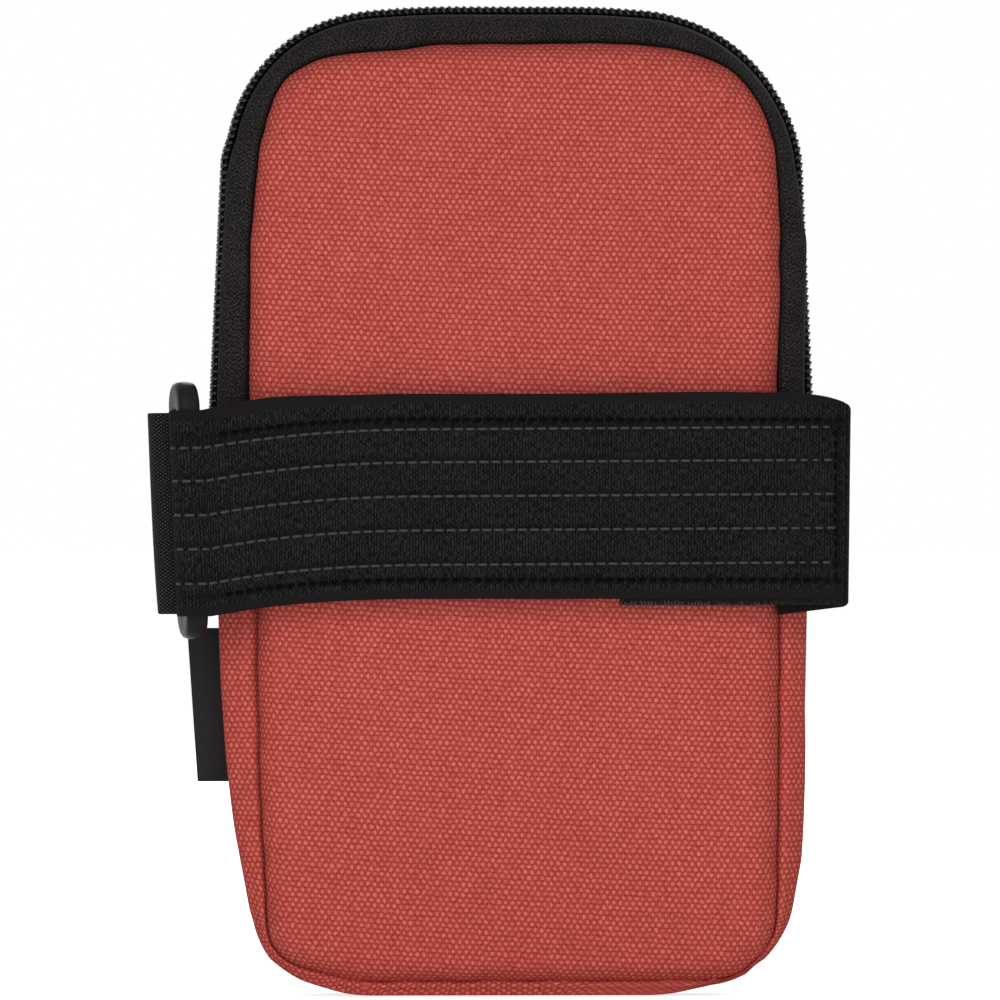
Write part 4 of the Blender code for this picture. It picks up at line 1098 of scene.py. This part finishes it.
def elastic_finish(name, sewn_rows=(), sewn_end=None, dark_rows=(), dark_start=0.0, dark_pitch=1.0):
    """Ribbed knit with smooth selvedges, drawn in and given painted shade along its sewn rows and sewn end.

    The stitches of the dark rows press a shaded spot each, one a pitch, the first at dark_start.
    """
    made, shader, tree = material(name, Roughness=0.9, Specular_IOR_Level=0.07)
    spot, place = on_cloth(tree)
    up = place.also(1)
    slub = spot.grain(scale=350, detail=1)
    u = place * (math.pi / RIB_PITCH) + slub * 0.9
    v = up * (math.pi / KNIT_PITCH) + slub * 0.9
    knit = u.maths("SINE") * v.maths("SINE")
    rib = u.maths("SINE").maths("ABSOLUTE")
    drawn = tree.node("VectorMath", {0: spot, 1: (1, 0.4, 1)}, operation="MULTIPLY")
    streak = drawn.grain(scale=2400, detail=2)
    broad = spot.grain(scale=90, detail=2)
    edge = (up - (STRAP_WIDTH / 2 - SELVEDGE_TOP)).step(0, SELVEDGE_FADE)
    edge = edge + (-1 * up - (STRAP_WIDTH / 2 - SELVEDGE_BOTTOM)).step(0, SELVEDGE_FADE)
    tone = (rib * (0.04 + streak * 0.50) + knit * 0.12 + streak * 1.05 + broad * 0.22).step(0.52, 1.28)
    height = tone * (1 - edge * 0.85) * RIB_DEPTH
    lines = [(up, row) for row in sewn_rows] + ([(place, sewn_end)] if sewn_end else [])
    # Each sewn row and the sewn end press a valley into the knit, and its colour is darkened there as painted
    # shade.
    for way, row in lines:
        valley = 1 - (way - row).maths("ABSOLUTE").step(0, ROW_PULL)
        height = height - valley * ROW_DEPTH
        tone = tone * (1 - valley ** 2 * ROW_SHADE)
    for row in dark_rows:
        beat = ((place + slub * SPOT_WANDER - dark_start) * (2 * math.pi / dark_pitch)).maths("COSINE")
        begun = (place - dark_start).step(-dark_pitch, 0)
        away = (up + slub * SPOT_WANDER - row).maths("ABSOLUTE").step(SPOT_HEIGHT * SPOT_CORE, SPOT_HEIGHT)
        spots = beat.step(-0.6, 0.3) * begun * (1 - away)
        height = height - spots * ROW_DEPTH
        tone = tone * (1 - spots * SPOT_SHADE)
    colour = edge.mix(tone.mix(ELASTIC_DARK, ELASTIC_LIGHT), SELVEDGE)
    wire(shader, Base_Color=colour, Normal=height.bump(strength=1, distance=1))
    return made


def pile_finish(name, light, scale):
    """Brushed loops or fine hooks: a short uneven pile, light at its tips."""
    made, shader, tree = material(name, Roughness=0.95, Specular_IOR_Level=0.08)
    pile = on_solid(tree).grain(scale, detail=4)
    wire(shader, Base_Color=pile.step(0.35, 0.7).mix(PILE_DARK, light),
         Normal=pile.bump(strength=0.9, distance=PILE_RELIEF))
    return made


fold = (STRAP_REACH - FOLD_RADIUS - ELASTIC / 2, under_y + FOLD_RADIUS)


def root_sag(place):
    """The strap's lower edge hangs most at the root, less at the fold, and not at all on the panel."""
    out = min((place.x - SEAM_HALF_WIDTH) / (STRAP_REACH - SEAM_HALF_WIDTH), 1)
    return ROOT_SAG + (FOLD_SAG - ROOT_SAG) * out if place.y > fold[1] else FOLD_SAG * smooth(out)


elastic = elastic_finish("ribbed_elastic")
fold_arc = turned(fold, FOLD_RADIUS, 90, -90)
strap_root = Vector((SEAM_HALF_WIDTH + SEAT_GAP, -SEAM_DEPTH))
strap_wrap = turned((wrap_x, wrap_y), WRAP_RADIUS, 90, SPLIT_DEG)
strap_route = [strap_root, *eased(strap_root, fold_arc[0]), *fold_arc,
               *eased(fold_arc[-1], strap_wrap[0], bend=False), *strap_wrap]
strap_rows = band_rows(strap_route, STRAP_WIDTH, sag=root_sag)
strap_band = band("strap_elastic", strap_rows, ELASTIC, elastic)
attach(strap_band, "pouch")
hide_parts("strap")

loop_pile = pile_finish("loop_pile", LOOP_LIGHT, scale=1500)
rise_end = wrap_x + SEAT_GAP + TAIL_RISE_RUN
loop_y = (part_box("strap_loop_tape")[0].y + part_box("strap_loop_tape")[1].y) / 2
strap_loops = flat_band("strap_loop_band", rise_end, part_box("strap_loop_tape")[1].x, loop_y,
                        LOOP_TAPE_WIDTH, LOOP_TAPE, loop_pile)
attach(strap_loops, "pouch")
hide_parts("strap_loop_tape")

# Strap's tail: the elastic's free end, from the ring's wrap to the right. Five rows of grey thread hold the
# loop tape under it, black thread runs along both edges, and a hook patch is sewn under its last stretch.
THREAD = 0.00030
DASH_PITCH = 0.00227
DASH_SHARE = 0.78
DASH_ROWS = (0.0133, 0.0070, 0.0005, -0.0060, -0.0126)
DASH_DRIFT = 0.0008
DASH_STAGGER = 0.13
STAGGER_LIMIT = 0.5
# A stitch's route: shares of its length, and how far it stands out of the band, in radii of its thread.
STITCH_SHAPE = ((0, -0.9), (0.2, 0.1), (0.5, 0.35), (0.8, 0.1), (1, -0.9))
# How far the dashes are drawn in, in radii: the first of each row, the last ones, and here and there.
FIRST_SUNK = 0.6
FIRST_DASHES = 7
LAST_SUNK = 0.75
LAST_START = 0.86
LAST_RUN = 0.10
UNEVEN_SUNK = 0.35
UNEVEN_STEP = 0.7
UNEVEN_ROW_STEP = 3.1
EDGE_ROWS = (0.0147, -0.0159)
CREASE_RUN = 0.0034
CREASE_DROP = 0.0012
EDGE_PITCH = 0.0021
EDGE_STITCH_SHARE = 0.55
END_STITCH_SHARE = 0.6
EDGE_ROW_START = 0.005
EDGE_THREAD = 0.00027
END_ROW_INSET = 0.0017
HOOK_TAPE = 0.0009
HOOK_TAPE_WIDTH = 0.0365
HOOK_LENGTH = 0.043
HOOK_OVERHANG = 0.0012
HOOK_COMB_PITCH = 0.00064
HOOK_COMB_RUN = 0.030
HOOK_COMB_DEPTH = 0.0009
# The comb's hooks are uneven and get lower to the right, and the least of them are left out.
HOOK_MIDDLE = 0.5
HOOK_FALL = 0.35
HOOK_LEAST = 0.12
HOOK_STUB = 0.35
HOOK_NOISE_STEP = 0.83
HOOK_NOISE_ROW = 0.4
COMB_THREAD = 0.00015
THREAD_GREY = (0.045, 0.045, 0.0455, 1)
THREAD_BLACK = (0.0016, 0.0015, 0.0016, 1)
COMB_GREY = (0.062, 0.061, 0.058, 1)
HOOK_LIGHT = (0.022, 0.022, 0.023, 1)
TWIST_SHADE = 0.7


def on_band(route, lengths, distance, up, lift):
    """A point on the outer face of a band, at a distance along its route and a height over its middle."""
    point, out = point_along(distance, route, lengths)
    place = point + out * (ELASTIC / 2 + lift)
    return Vector((place.x - LEAN * lean_at(place.x) * up, place.y, strap_middle(place.x) + up))


def stitch(route, lengths, start, length, up, radius, rise=0.0, sunk=0.0):
    """Route of one stitch, whose ends dip into the band, drawn in by sunk; rise turns it upright."""
    spots = []
    for share, out in STITCH_SHAPE:
        along = start + (0 if rise else share * length)
        spots.append(tuple(on_band(route, lengths, along, up + share * rise, (out - sunk) * radius)))
    return spots


def thread_finish(name, colour, shine=0.2):
    """Twisted sewing thread, darker between its plies."""
    made, shader, tree = material(name, Roughness=0.6, Specular_IOR_Level=shine)
    twist = on_solid(tree).grain(scale=5000, detail=1)
    dark = tuple(c * TWIST_SHADE for c in colour[:3]) + (1,)
    wire(shader, Base_Color=twist.step(0.2, 0.8).mix(dark, colour))
    return made


tail_arc = turned((wrap_x, wrap_y), WRAP_RADIUS, SPLIT_DEG, 270)
tail_level = Vector((rise_end, tail_y))
tail_end = Vector((STRAP_REACH - TAIL_END_GAP, tail_y))
crease = Vector((tail_arc[-1].x + CREASE_RUN, tail_arc[-1].y + CREASE_DROP))
tail_route = [*tail_arc, *eased(tail_arc[-1], crease), crease, *eased(crease, tail_level), tail_level,
              *eased(tail_level, tail_end, bend=False), tail_end]
tail_lengths = walked(tail_route)
edge_start = tail_lengths[len(tail_arc)] + EDGE_ROW_START
sewn_elastic = elastic_finish("sewn_elastic", DASH_ROWS + EDGE_ROWS, tail_lengths[-1] - END_ROW_INSET / 2,
                              EDGE_ROWS, edge_start + EDGE_PITCH * EDGE_STITCH_SHARE / 2, EDGE_PITCH)
tail_band = band("strap_tail_elastic", band_rows(tail_route, STRAP_WIDTH), ELASTIC, sewn_elastic)
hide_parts("strap_tail")

grey_thread = thread_finish("grey_thread", THREAD_GREY)
black_thread = thread_finish("black_thread", THREAD_BLACK, shine=0.03)
dash_start = tail_lengths[len(tail_arc) // 3]
end_row = tail_lengths[-1] - END_ROW_INSET
dash_length = DASH_PITCH * DASH_SHARE
dashes = []
for row, up in enumerate(DASH_ROWS):
    count = int((end_row - dash_start) / DASH_PITCH)
    for k in range(count):
        start = dash_start + (k + DASH_STAGGER * row % STAGGER_LIMIT) * DASH_PITCH
        height = up - DASH_DRIFT * (1 - k / count)
        sunk = LAST_SUNK * smooth((k - LAST_START * count) / (LAST_RUN * count))
        sunk += FIRST_SUNK * smooth(1 - k / FIRST_DASHES)
        sunk += UNEVEN_SUNK * noise.noise(Vector((k * UNEVEN_STEP, row * UNEVEN_ROW_STEP, 0)))
        dashes.append(stitch(tail_route, tail_lengths, start, dash_length, height, THREAD, sunk=sunk))
grey_rows = tube("tail_stitches_grey", dashes, THREAD)
grey_rows.data.materials.append(grey_thread)

edge_stitches = []
for up in EDGE_ROWS:
    count = int((end_row - edge_start) / EDGE_PITCH)
    for k in range(count):
        edge_stitches.append(stitch(tail_route, tail_lengths, edge_start + k * EDGE_PITCH,
                                    EDGE_PITCH * EDGE_STITCH_SHARE, up, EDGE_THREAD))
end_count = int((EDGE_ROWS[0] - EDGE_ROWS[1]) / EDGE_PITCH)
for k in range(end_count):
    edge_stitches.append(stitch(tail_route, tail_lengths, end_row, 0, EDGE_ROWS[1] + k * EDGE_PITCH,
                                EDGE_THREAD, rise=EDGE_PITCH * END_STITCH_SHARE))
black_rows = tube("tail_stitches_black", edge_stitches, EDGE_THREAD)
black_rows.data.materials.append(black_thread)

split_x = tail_end.x - HOOK_LENGTH
tail_loop_y = tail_y + ELASTIC / 2 + SEAT_GAP + LOOP_TAPE / 2
tail_loops = flat_band("tail_loop_band", rise_end, split_x - SEAT_GAP, tail_loop_y,
                       LOOP_TAPE_WIDTH, LOOP_TAPE, loop_pile)
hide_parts("tail_loop_tape")

hook_pile = pile_finish("hook_pile", HOOK_LIGHT, scale=2200)
comb_nylon = thread_finish("comb_nylon", COMB_GREY)
hook_y = (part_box("hook_patch")[0].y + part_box("hook_patch")[1].y) / 2
hook_drop = STRAP_WIDTH / 2 - HOOK_TAPE_WIDTH / 2 + HOOK_OVERHANG
hooks = flat_band("hook_patch_band", split_x, tail_end.x, hook_y,
                  HOOK_TAPE_WIDTH, HOOK_TAPE, hook_pile, drop=hook_drop)
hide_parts("hook_patch")

comb = []
comb_count = int(HOOK_COMB_RUN / HOOK_COMB_PITCH)
face = hook_y - HOOK_TAPE / 2
for k in range(comb_count):
    x = split_x + (k + 0.5) * HOOK_COMB_PITCH
    foot = strap_middle(x) - hook_drop - HOOK_TAPE_WIDTH / 2
    uneven = HOOK_MIDDLE - HOOK_FALL * k / comb_count
    uneven += noise.noise(Vector((k * HOOK_NOISE_STEP, HOOK_NOISE_ROW, 0)))
    if uneven > HOOK_LEAST:
        top = foot + HOOK_COMB_DEPTH * min(HOOK_STUB + uneven, 1)
        comb.append([(x, face, top), (x + COMB_THREAD, face - COMB_THREAD * uneven, foot + COMB_THREAD),
                     (x + COMB_THREAD, hook_y, foot - COMB_THREAD)])
comb_edge = tube("hook_patch_comb", comb, COMB_THREAD)
comb_edge.data.materials.append(comb_nylon)

for piece, slot in ((tail_band, None), (grey_rows, "elastic"), (black_rows, "elastic"), (tail_loops, None),
                    (hooks, None), (comb_edge, "hook_tape")):
    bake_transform(piece)

# Ring: black moulded plastic, one round bar bent to a slot, through the webbing at its rear and the strap at
# its front. It is seen edge on.
RING_HEIGHT = 0.0492
RING_CORNER = 0.0030
RING_SLOT = 0.0041
RING_SIDES = 32
RING_SQUARENESS = 3.2
RING_FILL = 0.0025
CORNER_STEPS = 10
RING_DARK = (0.0100, 0.0095, 0.0095, 1)
RING_HAZE = (0.0180, 0.0172, 0.0172, 1)
ring_joint = next(j for j in frame["joints"] if j["name"] == "ring_swing")
ring_low, ring_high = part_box("ring")
ring_centre = (ring_low + ring_high) / 2
rear = Vector(ring_joint["pos_m"])
half_gap = (RING_SLOT + RING_BAR) / 2
half_height = (RING_HEIGHT - RING_BAR) / 2

# A quarter of the ring, from the middle of a bar to the middle of an end, is mirrored twice. The bar is a
# circle made a little square, and the slot's ends are filled.
ring_bm = bmesh.new()
bmesh.ops.create_circle(ring_bm, segments=RING_SIDES, radius=RING_BAR / 2)
for vert in ring_bm.verts:
    square = sum(abs(c / (RING_BAR / 2)) ** RING_SQUARENESS for c in vert.co.xy) ** (1 / RING_SQUARENESS)
    vert.co /= square
bmesh.ops.translate(ring_bm, vec=(half_gap, 0, 0), verts=ring_bm.verts)


def pulled(bm, ring_edges, way):
    """Extrude an open end along a straight line, and give back its new end."""
    verts, new_end = extruded(bm, ring_edges)
    bmesh.ops.translate(bm, vec=way, verts=list(verts))
    return new_end


bar_end = pulled(ring_bm, ring_bm.edges[:], (0, 0, half_height - RING_CORNER))
spun = bmesh.ops.spin(ring_bm, geom=bar_end + list({v for e in bar_end for v in e.verts}),
                      cent=(half_gap - RING_CORNER, 0, half_height - RING_CORNER), axis=(0, -1, 0),
                      angle=math.pi / 2, steps=CORNER_STEPS)
corner_end = [e for e in spun["geom_last"] if isinstance(e, bmesh.types.BMEdge)]
pulled(ring_bm, corner_end, (RING_CORNER - half_gap, 0, 0))
for vert in ring_bm.verts:
    inside = held((half_gap - vert.co.x) / (RING_BAR / 2))
    under = held((half_height - vert.co.z) / (RING_BAR / 2))
    if vert.co.z > 0:
        vert.co.z -= RING_FILL * inside * under
for axis in ("X", "Z"):
    bmesh.ops.mirror(ring_bm, geom=ring_bm.verts[:] + ring_bm.edges[:] + ring_bm.faces[:],
                     merge_dist=SAME_PLACE, axis=axis)
bmesh.ops.remove_doubles(ring_bm, verts=ring_bm.verts, dist=SAME_PLACE)
bmesh.ops.recalc_face_normals(ring_bm, faces=ring_bm.faces)
turn = math.atan2(ring_centre.y - rear.y, ring_centre.x - rear.x)
ring_place = (Matrix.Translation(ring_centre) @ Matrix.Rotation(-RING_LEAN, 4, "Y")
              @ Matrix.Rotation(turn, 4, "Z"))
bmesh.ops.transform(ring_bm, matrix=ring_place, verts=ring_bm.verts)
ring = made_object("ring_moulded", ring_bm)
plastic, plastic_shader, plastic_tree = material("ring_plastic", Specular_IOR_Level=0.045)
plastic_spot = on_solid(plastic_tree)
haze = plastic_spot.grain(scale=400, detail=3)
fine = plastic_spot.grain(scale=4000, detail=1)
wire(plastic_shader, Base_Color=haze.mix(RING_DARK, RING_HAZE), Roughness=0.26 + haze * 0.18,
     Normal=fine.bump(strength=0.12, distance=FINE_RELIEF))
ring.data.materials.append(plastic)
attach(ring, "ring")
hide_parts("ring")

# Ring webbing: a short loop of black webbing round the ring's rear bar, both ends sewn in the left seam. Its
# lower edge rises to the seam, and its lower corner curls in.
WEBBING = 0.0013
WEBBING_WIDTH = 0.0385
WEBBING_REACH = 0.0692
WEB_GATHER = 0.0026
WEB_CURL = 0.0006
WEB_CURL_POWER = 4
WEB_PITCH = 0.00045
WEB_STEP = 0.00034
WEB_RELIEF = 0.00015
WEB_DARK = (0.0020, 0.0020, 0.0021, 1)
WEB_LIGHT = (0.080, 0.081, 0.083, 1)
apart = RING_BAR / 2 + SEAT_GAP + WEBBING / 2
left_root = -SEAM_HALF_WIDTH - SEAT_GAP
web_root_y = -SEAM_DEPTH + SEAT_GAP - WEBBING / 2
web_arc = turned((-WEBBING_REACH + WEBBING / 2 + apart, rear.y), apart, 90, 270)
web_start = Vector((left_root, web_root_y + SEAT_GAP))
web_end = Vector((left_root, web_root_y - WEBBING))
web_inner = Vector((rear.x + apart / 2, rear.y + apart))
web_outer = Vector((rear.x + apart / 2, rear.y - apart))
web_route = [web_start, *eased(web_start, web_inner), web_inner, *eased(web_inner, web_arc[0], bend=False),
             *web_arc, *eased(web_arc[-1], web_outer, bend=False), web_outer, *eased(web_outer, web_end),
             web_end]

web_finish, web_shader, web_tree = material("webbing_weave", Roughness=0.7, Specular_IOR_Level=0.08)
web_spot, web_place = on_cloth(web_tree)
web_grain = web_spot.grain(scale=2500, detail=1)
web_tone = (checked(web_place, WEB_PITCH, WEB_STEP) * 0.6 + web_grain * 0.7).step(0.42, 1.05)
wire(web_shader, Base_Color=web_tone.mix(WEB_DARK, WEB_LIGHT),
     Normal=web_tone.bump(strength=0.7, distance=WEB_RELIEF))
web_rows = band_rows(web_route, WEBBING_WIDTH, level=strap_middle(-RING_FRONT_X))
for row in web_rows:
    gather = WEB_GATHER * smooth((row[0].x + RING_FRONT_X) / (RING_FRONT_X - SEAM_HALF_WIDTH))
    corner = held((-row[0].x - RING_FRONT_X) / (WEBBING_REACH - RING_FRONT_X))
    for k, point in enumerate(row):
        low = 1 - k / (BAND_POINTS - 1)
        point.z += gather * low
        point.x += WEB_CURL * corner * low ** WEB_CURL_POWER
webbing = band("ring_webbing_loop", web_rows, WEBBING, web_finish)
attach(webbing, "pouch")
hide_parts("ring_webbing")

# Side label: a short black satin ribbon folded in two, its ends sewn in the front seam on the left. Its faces
# are bare.
LABEL_HEIGHT = 0.0297
LABEL_SLANT = 0.068
LABEL_REACH = 0.0612
LABEL_PLY = 0.00035
LABEL_CORNER = 0.0001
LABEL_CURL = 0.0006
CURLS_PER_METRE = 110
CURL_START = 0.6
SATIN_PITCH = 0.00022
SATIN_DARK = (0.0085, 0.0076, 0.0085, 1)
SATIN_LIGHT = (0.0235, 0.0210, 0.0235, 1)
label_low, label_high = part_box("side_label")
label_middle = (label_low + label_high) / 2
label_radius = (LABEL_PLY + SEAT_GAP) / 2
label_fold = turned((-LABEL_REACH + label_radius + LABEL_PLY / 2, label_middle.y), label_radius, 270, 90)
label_near = Vector((left_root, label_middle.y - label_radius))
label_far = Vector((left_root, label_middle.y + label_radius))
label_route = [label_near, *eased(label_near, label_fold[0], bend=False), *label_fold,
               *eased(label_fold[-1], label_far, bend=False), label_far]
satin, satin_shader, satin_tree = material("label_satin", Roughness=0.6, Specular_IOR_Level=0.10)
satin_spot, satin_place = on_cloth(satin_tree)
satin_rib = (satin_place.also(1) * (math.pi / SATIN_PITCH)).maths("SINE")
satin_tone = (satin_rib * 0.3 + satin_spot.grain(scale=1800, detail=2)).step(0.1, 1.0)
wire(satin_shader, Base_Color=satin_tone.mix(SATIN_DARK, SATIN_LIGHT),
     Normal=satin_tone.bump(strength=0.4, distance=FINE_RELIEF))
label_rows = []
for place in label_route:
    out = max(0.0, (left_root - place.x) / (LABEL_REACH + left_root))
    row = []
    for k in range(BAND_POINTS):
        up = LABEL_HEIGHT * (k / (BAND_POINTS - 1) - 0.5)
        curl = LABEL_CURL * out * math.sin(up * CURLS_PER_METRE + CURL_START)
        row.append(Vector((place.x - up * LABEL_SLANT, place.y + curl, label_middle.z + up)))
    label_rows.append(row)
label = band("side_label_ribbon", label_rows, LABEL_PLY, satin, corner=LABEL_CORNER)
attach(label, "pouch")
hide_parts("side_label")
